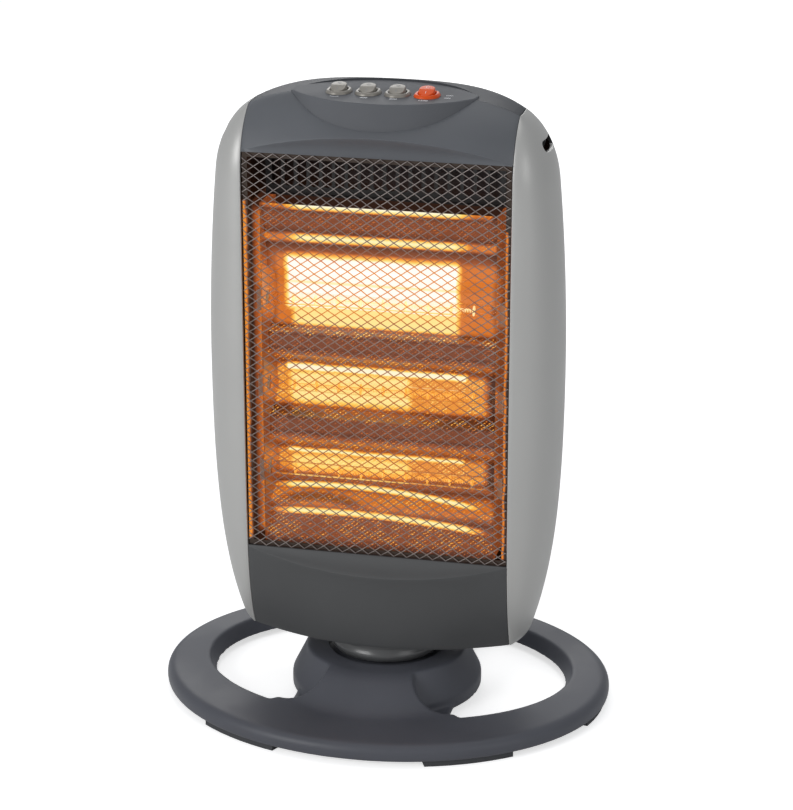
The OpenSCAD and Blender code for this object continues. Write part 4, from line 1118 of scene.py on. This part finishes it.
# weight, height, thickness, bow, middle, start, end
LINES = [
    # over the top trough
    (0.93, 0.3767, 0.0042, 0, 0, -0.066, 0.0706),
    (0.87, 0.3535, 0.0042, 0, 0, -0.066, 0.0706),
    (0.44, 0.3814, 0.0011, 0, 0, -0.078, 0.0720),
    # under the lowest trough
    (0.87, 0.1634, 0.0034, 0.0050, -0.023, -0.074, 0.0800),
    (0.85, 0.1428, 0.0037, 0.0034, -0.023, -0.074, 0.0800),
]
# the same numbers; a shade takes light away
SHADES = [
    (0.14, 0.3217, 0.0014, 0, 0, -0.070, 0.070),
    (0.45, 0.2870, 0.0018, 0, 0, -0.080, 0.090),
    (0.50, 0.1538, 0.0048, 0.0300, -0.042, -0.075, -0.010),
    (0.35, 0.2252, 0.0020, 0, 0, -0.080, 0.090),
]

# %% The sheet
sheet, tree, shader = new_material("bright_sheet")
metal = place_group(tree, drawn_group, (-700, -300), Line_Scale=900.0)
wire(tree, colour_mix(tree, metal.outputs["Stain"], (0.070, 0.052, 0.046), (0.050, 0.036, 0.032)),
     shader.inputs["Base Color"])
wire(tree, ramp_between(tree, metal.outputs["Lines"], 0.2, 0.8, 0.2, 0.34), shader.inputs["Roughness"])
shader.inputs["Metallic"].default_value = 1.0
facing = add(tree, "ShaderNodeSeparateXYZ")
wire(tree, add(tree, "ShaderNodeTexCoord").outputs["Normal"], facing.inputs[0])
front_side = maths(tree, "LESS_THAN", facing.outputs["Y"], 0.15)
lit = maths(tree, "MULTIPLY", heat_field(tree, BANDS, LINES, SHADES, 0.07, 0.0), front_side)
wire(tree, heat_colour(tree, lit), shader.inputs["Emission Color"])
shader.inputs["Emission Strength"].default_value = 1.0
add_bump(tree, shader, metal.outputs["Lines"], 0.1, 0.00005)
print("bands:", len(BANDS), "lines:", len(LINES), "shades:", len(SHADES))

# %% [markdown]
# ## Glow on the metal round the sheet
# The end plates, the chassis, the guard's frame and its wires catch some of the light. Each takes
# the same kind of bands, dimmer, over a metal of its own colour, and where it is lit its own
# colour steps back, so that daylight doesn't wash the orange out.

# %% Metals that take some of the glow


def glowing(name, colour, gloss, metallic, bands, strength, level=0.0, glints=0.0):
    """A metal near the tubes: its own colour, and the heat colours for the light that falls on it."""
    material, tree, shader = new_material(name)
    metal = place_group(tree, drawn_group, (-700, -300), Line_Scale=1200.0)
    wire(tree, ramp_between(tree, metal.outputs["Lines"], 0.2, 0.8, gloss - 0.06, gloss + 0.08),
         shader.inputs["Roughness"])
    shader.inputs["Metallic"].default_value = metallic
    field = heat_field(tree, bands, [], [], level, glints)
    cool = colour_mix(tree, metal.outputs["Stain"], colour, scaled(colour, 0.8))
    hot = maths(tree, "MULTIPLY", field, 3.0, clamp=True)
    wire(tree, colour_mix(tree, hot, cool, (0.10, 0.045, 0.012)), shader.inputs["Base Color"])
    wire(tree, heat_colour(tree, field), shader.inputs["Emission Color"])
    shader.inputs["Emission Strength"].default_value = strength
    add_bump(tree, shader, metal.outputs["Lines"], 0.1, 0.00004)
    return material


END_PLATE_LIGHT = [(0.30, 0.284, 0.344, -0.1, 0.1, 0.012, 0.3),
                   (0.28, 0.222, 0.258, -0.1, 0.1, 0.012, 0.3),
                   (0.28, 0.168, 0.198, -0.1, 0.1, 0.012, 0.4)]
CHASSIS_LIGHT = [(0.37, 0.124, 0.374, -0.0886, 0.1, 0.003, 0.3)]
FRAME_LIGHT = [(0.46, 0.118, 0.378, -0.1, -0.0937, 0.0010, 0),
               (0.42, 0.118, 0.366, 0.0948, 0.0968, 0.0006, 0)]
WIRE_LIGHT = [(0.44, 0.290, 0.342, -0.072, 0.070, 0.008, 0),
              (0.36, 0.227, 0.258, -0.072, 0.070, 0.008, 0),
              (0.32, 0.170, 0.194, -0.072, 0.070, 0.008, 0),
              (0.08, 0.124, 0.372, -0.08, 0.078, 0.01, 0)]
end_plate_metal = glowing("end_plate_metal", (0.07, 0.045, 0.03), 0.3, 1.0, END_PLATE_LIGHT, 1.0,
                          level=0.18, glints=0.2)
chassis_metal = glowing("chassis_metal", (0.09, 0.08, 0.07), 0.4, 1.0, CHASSIS_LIGHT, 0.9, level=0.02)
frame_metal = glowing("guard_frame_steel", (0.05, 0.045, 0.04), 0.4, 1.0, FRAME_LIGHT, 1.0)
guard_metal = glowing("guard_wire", linear(136, 131, 129), 0.38, 0.6, WIRE_LIGHT, 0.9)
print("lit metals:", end_plate_metal.name, chassis_metal.name, frame_metal.name, guard_metal.name)

# %% [markdown]
# ## Glass and filament
# Quartz is clear, with a faint haze from the heat. Its index is set just over 1, so that it bends
# and mirrors little and the bands behind it stay readable. The filament glows by itself, hottest
# in the top tube, and a fine noise makes its turns uneven.

# %% Quartz and filament
quartz = bpy.data.materials.new("quartz")
quartz.use_nodes = True
tree = quartz.node_tree
shader = tree.nodes["Principled BSDF"]
shader.inputs["Base Color"].default_value = (1.0, 0.97, 0.9, 1)
shader.inputs["Transmission Weight"].default_value = 1.0
shader.inputs["IOR"].default_value = 1.08
haze = noise(tree, add(tree, "ShaderNodeTexCoord").outputs["Object"], 260.0, 3.0)
wire(tree, ramp_between(tree, haze, 0.3, 0.8, 0.02, 0.12), shader.inputs["Roughness"])

filament, tree, shader = new_material("filament")
beat = noise(tree, add(tree, "ShaderNodeTexCoord").outputs["Object"], 400.0, 2.0)
top_tube = maths(tree, "GREATER_THAN", object_xyz(tree)[3], 0.28)
hot = maths(tree, "MULTIPLY_ADD", top_tube, 0.28, ramp_between(tree, beat, 0.3, 0.7, 0.52, 0.62))
wire(tree, heat_colour(tree, hot), shader.inputs["Emission Color"])
shader.inputs["Emission Strength"].default_value = 0.9
shader.inputs["Base Color"].default_value = (0.3, 0.2, 0.12, 1)
wire(tree, ramp_between(tree, beat, 0.2, 0.8, 0.3, 0.5), shader.inputs["Roughness"])
shader.inputs["Metallic"].default_value = 1.0

# %% [markdown]
# ## The folded sheet
# One strip of bright steel is rolled into three round troughs with ridges between them. The side
# view is a path; a second path one sheet thickness behind it closes the outline, and the outline
# runs from end plate to end plate.

# %% Reflector
TUBE_Z, TUBE_Y = (176.0, 242.0, 308.0), -12.0
RIDGE_Y, TROUGH_R, SHEET = -14.0, 24.0, 0.8
path = [(-27, 123), (-22, 129), (RIDGE_Y, 143)]
path += [(RIDGE_Y + TROUGH_R * math.cos(math.radians(a)), z + TROUGH_R * math.sin(math.radians(a)))
         for z in TUBE_Z for a in range(-90, 91, 6)]
path += [(RIDGE_Y, 344), (-20, 358), (-27, 381), (-29, 383)]


def behind(points, distance):
    """The same path, moved square to itself, away from the tubes."""
    moved = []
    for i, p in enumerate(points):
        a, b = Vector(points[max(0, i - 1)]), Vector(points[min(len(points) - 1, i + 1)])
        d = (b - a).normalized()
        moved.append((p[0] + distance * d.y, p[1] - distance * d.x))
    return moved


outline = path + behind(path, SHEET)[::-1]
stations = [mix(-86, 86, k / 16) for k in range(17)]
folded = loft("folded_reflector", [[(x, y, z) for y, z in outline] for x in stations])
finish_piece(folded, sheet, "head", "reflector_sheet", "reflector", angle=28)
print("reflector outline:", len(outline), "points")

# %% [markdown]
# ## Heating tubes
# A tungsten coil on the tube's axis is kept off the glass by small discs. Coil and discs repeat,
# so Geometry Nodes make them: a spiral swept with a thin round profile, and a disc on each point
# of a line. The glass is a turned profile that narrows at both ends.

# %% Geometry Nodes helpers


def geometry_tree(name, inputs):
    """A Geometry Nodes tree with named number inputs {name: value}."""
    tree = bpy.data.node_groups.new(name, "GeometryNodeTree")
    tree.interface.new_socket("Geometry", in_out="INPUT", socket_type="NodeSocketGeometry")
    for label, value in inputs.items():
        kind = "NodeSocketInt" if isinstance(value, int) else "NodeSocketFloat"
        tree.interface.new_socket(label, in_out="INPUT", socket_type=kind).default_value = value
    tree.interface.new_socket("Geometry", in_out="OUTPUT", socket_type="NodeSocketGeometry")
    return tree, add(tree, "NodeGroupInput", (-800, 0)), add(tree, "NodeGroupOutput", (900, 0))


def end_tree(tree, geometry, material, out):
    """Every tree ends like this: instances made real, shaded smooth, material set."""
    real = add(tree, "GeometryNodeRealizeInstances", (500, 0))
    smooth = add(tree, "GeometryNodeSetShadeSmooth", (620, 0))
    paint = add(tree, "GeometryNodeSetMaterial", (760, 0))
    paint.inputs["Material"].default_value = material
    wire(tree, geometry, real.inputs[0])
    wire(tree, real.outputs[0], smooth.inputs[0])
    wire(tree, smooth.outputs[0], paint.inputs[0])
    wire(tree, paint.outputs[0], out.inputs[0])


def grow(obj, tree, values):
    """Runs a tree on an object with inputs set by name, and keeps the result as a plain mesh."""
    modifier = obj.modifiers.new("nodes", "NODES")
    modifier.node_group = tree
    for socket in tree.interface.items_tree:
        if socket.in_out == "INPUT" and socket.name in values:
            modifier[socket.identifier] = values[socket.name]
    return fix_in_mesh(obj)


# %% Coil and discs
coil_tree, c_in, c_out = geometry_tree("heating_coil", {
    "Turns": 110.0, "Coil Radius": 0.0013, "Wire Radius": 0.00028, "Half Length": 0.067,
    "Disc Count": 9, "Disc Radius": 0.0038, "Place Y": -0.012, "Place Z": 0.176})
spiral = add(coil_tree, "GeometryNodeCurveSpiral")
spiral.inputs["Resolution"].default_value = 10
wire(coil_tree, c_in.outputs["Turns"], spiral.inputs["Rotations"])
wire(coil_tree, c_in.outputs["Coil Radius"], spiral.inputs["Start Radius"])
wire(coil_tree, c_in.outputs["Coil Radius"], spiral.inputs["End Radius"])
length = maths(coil_tree, "MULTIPLY", c_in.outputs["Half Length"], 2.0)
wire(coil_tree, length, spiral.inputs["Height"])
round_wire = add(coil_tree, "GeometryNodeCurvePrimitiveCircle")
round_wire.inputs["Resolution"].default_value = 4
wire(coil_tree, c_in.outputs["Wire Radius"], round_wire.inputs["Radius"])
swept = add(coil_tree, "GeometryNodeCurveToMesh")
swept.inputs["Fill Caps"].default_value = True
wire(coil_tree, spiral.outputs[0], swept.inputs["Curve"])
wire(coil_tree, round_wire.outputs[0], swept.inputs["Profile Curve"])
row = add(coil_tree, "GeometryNodeMeshLine", mode="END_POINTS")
wire(coil_tree, c_in.outputs["Disc Count"], row.inputs["Count"])
row_end = add(coil_tree, "ShaderNodeCombineXYZ")
wire(coil_tree, length, row_end.inputs["Z"])
wire(coil_tree, row_end.outputs[0], row.inputs["Offset"])
disc = add(coil_tree, "GeometryNodeMeshCylinder")
disc.inputs["Vertices"].default_value = 20
disc.inputs["Depth"].default_value = 0.0007
wire(coil_tree, c_in.outputs["Disc Radius"], disc.inputs["Radius"])
discs = add(coil_tree, "GeometryNodeInstanceOnPoints")
wire(coil_tree, row.outputs[0], discs.inputs["Points"])
wire(coil_tree, disc.outputs[0], discs.inputs["Instance"])
together = add(coil_tree, "GeometryNodeJoinGeometry")
wire(coil_tree, swept.outputs[0], together.inputs[0])
wire(coil_tree, discs.outputs[0], together.inputs[0])
turned = add(coil_tree, "GeometryNodeTransform")
turned.inputs["Rotation"].default_value = (0, math.pi / 2, 0)
middle = add(coil_tree, "ShaderNodeCombineXYZ")
wire(coil_tree, maths(coil_tree, "MULTIPLY", c_in.outputs["Half Length"], -1.0), middle.inputs["X"])
wire(coil_tree, c_in.outputs["Place Y"], middle.inputs["Y"])
wire(coil_tree, c_in.outputs["Place Z"], middle.inputs["Z"])
wire(coil_tree, together.outputs[0], turned.inputs["Geometry"])
wire(coil_tree, middle.outputs[0], turned.inputs["Translation"])
end_tree(coil_tree, turned.outputs[0], filament, c_out)

# %% Three coils, three tubes


def turned_on_x(name, profile, y, z, segments=40):
    """A closed profile of [radius, x] turned about a line along X."""
    turns = [2 * math.pi * k / segments for k in range(segments)]
    loops = [[(x, y + r * math.cos(a), z + r * math.sin(a)) for a in turns] for r, x in profile]
    return loft(name, loops, ring=True)


# radius and place along the tube: outside to the pinched end, then back along the inside
GLASS_END = [(5.0, 79.0), (4.9, 81.0), (4.2, 83.5), (3.7, 86.0), (3.6, 91.3), (3.4, 91.5),
             (0.7, 91.5), (0.7, 84.0), (2.4, 81.6), (3.8, 79.6), (4.0, 78.0)]
for i, z in enumerate(TUBE_Z, 1):
    coil = grow(new_piece(f"tungsten_coil_{i}", [], []), coil_tree, {"Place Z": z * MM})
    finish_piece(coil, filament, "head", "filament", f"heating_coil_{i}", angle=50)
    profile = GLASS_END + [(r, -x) for r, x in reversed(GLASS_END)]
    glass = turned_on_x(f"quartz_tube_{i}", profile, TUBE_Y, z)
    finish_piece(glass, quartz, "head", "quartz", f"halogen_tube_{i}", angle=50)
print("coil faces:", len(coil.data.polygons))

# %% [markdown]
# ## Wire guard
# The guard is woven from straight wires in two directions. Where two wires cross, one goes over
# and the other under, in turn. The script lays out each wire as a row of points at its crossings
# and half way between them. Geometry Nodes bend every row over and under and give it its round
# thickness.

# %% Weave the guard
DIAMOND_W, DIAMOND_H = 9.74, 6.66
GUARD_HALF = FRONT_HALF - 0.8
SLOPE = DIAMOND_H / DIAMOND_W
OVERHANG = (GUARD_HIGH - GUARD_LOW) / SLOPE
WEAVE_Y = -GUARD_FACE + 1.015  # between the two layers of wires of the CAD model
LIFT = 0.4                     # how far a wire bends to each side of that
START = {1: -GUARD_HALF - OVERHANG + 0.4 * DIAMOND_W, -1: -GUARD_HALF + 0.4 * DIAMOND_W}

weave_tree, w_in, w_out = geometry_tree("woven_wires", {
    "Wire Radius": 0.00037, "Lift": 0.0004, "Crossing Spacing": 0.00487, "First Crossing": 0.0})
place = add(weave_tree, "GeometryNodeInputPosition")
parts = add(weave_tree, "ShaderNodeSeparateXYZ")
wire(weave_tree, place.outputs[0], parts.inputs[0])
along = maths(weave_tree, "SUBTRACT", parts.outputs[0], w_in.outputs["First Crossing"])
steps = maths(weave_tree, "DIVIDE", along, w_in.outputs["Crossing Spacing"])
wave = maths(weave_tree, "COSINE", maths(weave_tree, "MULTIPLY", steps, math.pi))
push = add(weave_tree, "ShaderNodeCombineXYZ")
wire(weave_tree, maths(weave_tree, "MULTIPLY", wave, w_in.outputs["Lift"]), push.inputs["Y"])
bend = add(weave_tree, "GeometryNodeSetPosition")
wire(weave_tree, w_in.outputs["Geometry"], bend.inputs["Geometry"])
wire(weave_tree, push.outputs[0], bend.inputs["Offset"])
as_curves = add(weave_tree, "GeometryNodeMeshToCurve")
wire(weave_tree, bend.outputs[0], as_curves.inputs[0])
profile = add(weave_tree, "GeometryNodeCurvePrimitiveCircle")
profile.inputs["Resolution"].default_value = 6
wire(weave_tree, w_in.outputs["Wire Radius"], profile.inputs["Radius"])
thick = add(weave_tree, "GeometryNodeCurveToMesh")
thick.inputs["Fill Caps"].default_value = True
wire(weave_tree, as_curves.outputs[0], thick.inputs["Curve"])
wire(weave_tree, profile.outputs[0], thick.inputs["Profile Curve"])
end_tree(weave_tree, thick.outputs[0], guard_metal, w_out)


def wire_rows(direction):
    """Points and edges of all wires of one direction, and the place of a crossing, in millimetres."""
    points, edges = [], []
    count = int((2 * GUARD_HALF + OVERHANG) / DIAMOND_W) + 1
    phase = (START[1] + START[-1]) / 2
    for i in range(count):
        x0 = START[direction] + i * DIAMOND_W
        ends = sorted((x0, x0 + direction * OVERHANG))
        low, high = max(-GUARD_HALF, ends[0]), min(GUARD_HALF, ends[1])
        if high - low < DIAMOND_W / 2:
            continue
        quarter = DIAMOND_W / 4
        first = math.ceil((low - phase) / quarter + 0.2)
        last = math.floor((high - phase) / quarter - 0.2)
        row_xs = [low] + [phase + k * quarter for k in range(first, last + 1)] + [high]
        for k, x in enumerate(row_xs):
            points.append((x, WEAVE_Y, GUARD_LOW + direction * (x - x0) * SLOPE))
            if k:
                edges.append((len(points) - 2, len(points) - 1))
    return points, edges, phase


for direction, label in ((1, "rising"), (-1, "falling")):
    points, edges, phase = wire_rows(direction)
    mesh = bpy.data.meshes.new(f"guard_wires_{label}")
    mesh.from_pydata([[c * MM for c in p] for p in points], edges, [])
    guard = bpy.data.objects.new(f"guard_wires_{label}", mesh)
    scene.collection.objects.link(guard)
    grow(guard, weave_tree, {"Lift": -LIFT * MM * direction, "First Crossing": phase * MM,
                             "Crossing Spacing": DIAMOND_W / 2 * MM})
    clean(guard, 0.000001)
    finish_piece(guard, guard_metal, "head", "guard_wire", "guard_mesh", angle=75)
    print(guard.name, len(guard.data.polygons), "faces")

# %% [markdown]
# ## Neck
# The neck is a turned black cup that hangs from the head's floor and stands on a washer in the
# pedestal. Its rounded lower edge shows as a glossy bulge over the pedestal's rim, and it draws in a
# little above the bulge. One closed profile, turned about Z, gives all of it.

# %% Neck
neck_profile = [(10.1, 36.4), (32.0, 36.4)]
bulge_turns = [math.radians(a) for a in range(-84, 31, 6)]
neck_profile += [(37.4 + 5.2 * math.cos(a), 41.6 + 5.2 * math.sin(a)) for a in bulge_turns]
neck_profile += [(41.5, 45.4), (41.1, 46.6), (41.0, 48.0), (41.0, 52.2), (40.8, 52.5),
                 (34.2, 52.5), (34.2, 41.4), (10.1, 41.4)]
neck = lathe("turned_neck", neck_profile, 144)
finish_piece(neck, neck_black, "head", "neck_plastic", "swivel_neck", angle=50)
print("neck radius:", max(radius for radius, _ in neck_profile))

# %% [markdown]
# ## Base
# The base is one moulding: an oval plate with two large openings whose walls lean, a conical
# pedestal in the middle and a saddle in front and behind that runs down to the oval between two
# round scoops. All edges flow into each other. The solids are made apart, from lofts, lathes and
# cutters. Those that overlap are joined and remeshed on a fine grid, which unites them, and a few
# rounds of smoothing give the soft blends of the mould.

# %% Base outlines
BASE_A, BASE_B, RIM_LOW, RIM_R, BASE_TOP = 170.0, 138.0, 4.4, 7.0, 17.0
PEDESTAL_TOP = 37.0
OPENING_A, OPENING_B, OPENING_BACK, OPENING_LEAN = 141.0, 101.0, 10.0, 1.05
UNDER_RING = 106.0             # every saddle reaches at least this far, well on to the ring


def oval(a, b, back=0.0, n=180):
    """Points of an oval with half axes a and b, its middle moved back."""
    turns = [2 * math.pi * k / n for k in range(n)]
    return [(a * math.cos(t), back + b * math.sin(t)) for t in turns]


def keep_common(obj, other):
    """The part of a closed shape that lies inside another one."""
    tool = obj.modifiers.new("common", "BOOLEAN")
    tool.operation = "INTERSECT"
    tool.solver = "MANIFOLD"
    tool.object = other
    fix_in_mesh(obj)
    bpy.data.objects.remove(other)
    return obj


def saddle_plan(name, middle_x, reach, radius, way):
    """The saddle from above: its sides run straight out, then curve away round a scoop each."""
    side = [(middle_x - radius, 30)]
    for degrees in range(180, 89, -6):
        a = math.radians(degrees)
        side.append((middle_x + radius * math.cos(a), reach + radius * math.sin(a)))
    side.append((middle_x, max(UNDER_RING, reach + radius + 6)))
    outline = side + [(-x, y) for x, y in reversed(side)]
    return prism(name, [(x, way * y) for x, y in outline], 0, 60)


def ball(name, centre, radius, floor_z, segments=96, rings=48):
    """A closed ball with a flattened underside, as a cutter for the scoops."""
    bm = bmesh.new()
    bmesh.ops.create_uvsphere(bm, u_segments=segments, v_segments=rings, radius=radius * MM)
    bmesh.ops.translate(bm, verts=bm.verts, vec=[c * MM for c in centre])
    for v in bm.verts:
        v.co.z = max(v.co.z, floor_z * MM)
    mesh = bpy.data.meshes.new(name)
    bm.to_mesh(mesh)
    bm.free()
    obj = bpy.data.objects.new(name, mesh)
    scene.collection.objects.link(obj)
    return obj


def base_plate(name):
    """The oval plate with an upright edge that rounds over to the top."""
    levels = [(0.9, RIM_LOW), (0.0, RIM_LOW + 3)]
    for degrees in range(0, 91, 9):
        a = math.radians(degrees)
        levels.append((RIM_R * (1 - math.cos(a)), BASE_TOP - RIM_R + RIM_R * math.sin(a)))
    return loft(name, [[(x, y, z) for x, y in oval(BASE_A - s, BASE_B - s)] for s, z in levels])


# %% Base solids
hole = loft("opening", [[(x, y, z) for x, y in oval(OPENING_A / lean, OPENING_B / lean, OPENING_BACK)]
                        for lean, z in ((OPENING_LEAN, 3.0), (1.0, 18.0))])
cut(hole, block("back_bridge", (-40, 94, 0), (40, 154, 30)))
plate = cut(base_plate("oval_plate"), hole)
pedestal_side = [(0.4, RIM_LOW), (72, RIM_LOW), (72, BASE_TOP - 3), (61, PEDESTAL_TOP - 1),
                 (60.5, PEDESTAL_TOP - 0.3), (59, PEDESTAL_TOP), (0.4, PEDESTAL_TOP)]
solids = [plate, lathe("pedestal", pedestal_side, 120)]

# %% Saddles in front and behind
# the curve of the saddle's side: its middle across and out, and its radius; then the ball that
# hollows it: its centre across, out and up, and its radius
SADDLES = {-1: ((86, 54, 26), (59, 51, 31), 26.5), 1: ((98, 70, 44), (80, 70, 49), 44.0)}
SCOOP_FLOOR = 8.5
for way, (curve, scoop, scoop_r) in SADDLES.items():
    skirt = [(40, RIM_LOW), (40, PEDESTAL_TOP - 0.4)]
    for k in range(17):
        drop = (1 - math.cos(math.pi * k / 16)) / 2
        skirt.append((mix(59, 98, k / 16), mix(PEDESTAL_TOP - 0.4, BASE_TOP, drop)))
    skirt += [(124, BASE_TOP), (124, RIM_LOW)]
    saddle = keep_common(lathe("skirt", skirt, 120), saddle_plan("plan", *curve, way))
    scoops = [ball("scoop", (side * scoop[0], way * scoop[1], scoop[2]), scoop_r, SCOOP_FLOOR)
              for side in (-1, 1)]
    solids.append(cut(saddle, *scoops))
base = join("oval_base", solids)
print("base solids:", len(solids))

# %% Unite, smooth, cut the recess for the neck
VOXEL = 0.00125
unite = base.modifiers.new("unite", "REMESH")
unite.mode = "VOXEL"
unite.voxel_size = VOXEL
soften = base.modifiers.new("soften", "SMOOTH")
soften.factor = 0.5
soften.iterations = 7
fix_in_mesh(base)
clean(base)
recess_side = [(0.2, 34.4), (43.3, 34.4), (43.6, 34.8), (43.6, 36.2), (44.6, 37.2), (45.2, 50),
               (0.2, 50)]
recess = lathe("recess", recess_side, 120)
cavity = lathe("cavity", [(0.2, 0), (50, 0), (50, 30), (0.2, 30)], 96)
bore = lathe("bore", [(0.1, -5), (10.05, -5), (10.05, 60), (0.1, 60)], 48)
cut(base, recess, cavity, bore)
finish_piece(base, base_grey, "base", "base_plastic", "base_moulding", angle=48)
print("base:", len(base.data.polygons), "faces, voxel", VOXEL)

# %% [markdown]
# ## Parts that keep their CAD shape
# Flat sheets, plates, feet, screws and the parts inside are already right in the CAD model. They
# stay as they are and only get a finish, through the material slots of their objects.

# %% Finishes on the CAD nodes


def paint_node(material, *names):
    """Puts one finish in every material slot of these CAD nodes."""
    for name in names:
        for holder in nodes[name].material_slots:
            holder.material = material


paint_node(foot_rubber, "base_feet")
paint_node(deep_black, "base_cover", "tip_switch_body", "cord_bush")
paint_node(zinc_steel, "cover_screws", "pivot_tube", "retaining_ring", "drive_arm", "case_screws",
           "oscillation_motor", "motor_posts", "crank_disc", "chassis_posts")
paint_node(white_nylon, "bearing_washer", "tip_switch_plunger")
paint_node(rear_grey, "head_floor")
paint_node(dark_steel, "housing_screws", "thermal_cutout")
paint_node(frame_metal, "guard_frame")
paint_node(chassis_metal, "inner_chassis")
paint_node(end_plate_metal, "reflector_end_left", "reflector_end_right")
paint_node(baffle_black, "vent_baffle")
paint_node(ceramic_white, "tube_holders_left", "tube_holders_right")

# %% Bring the scene up to date
bpy.context.view_layer.update()
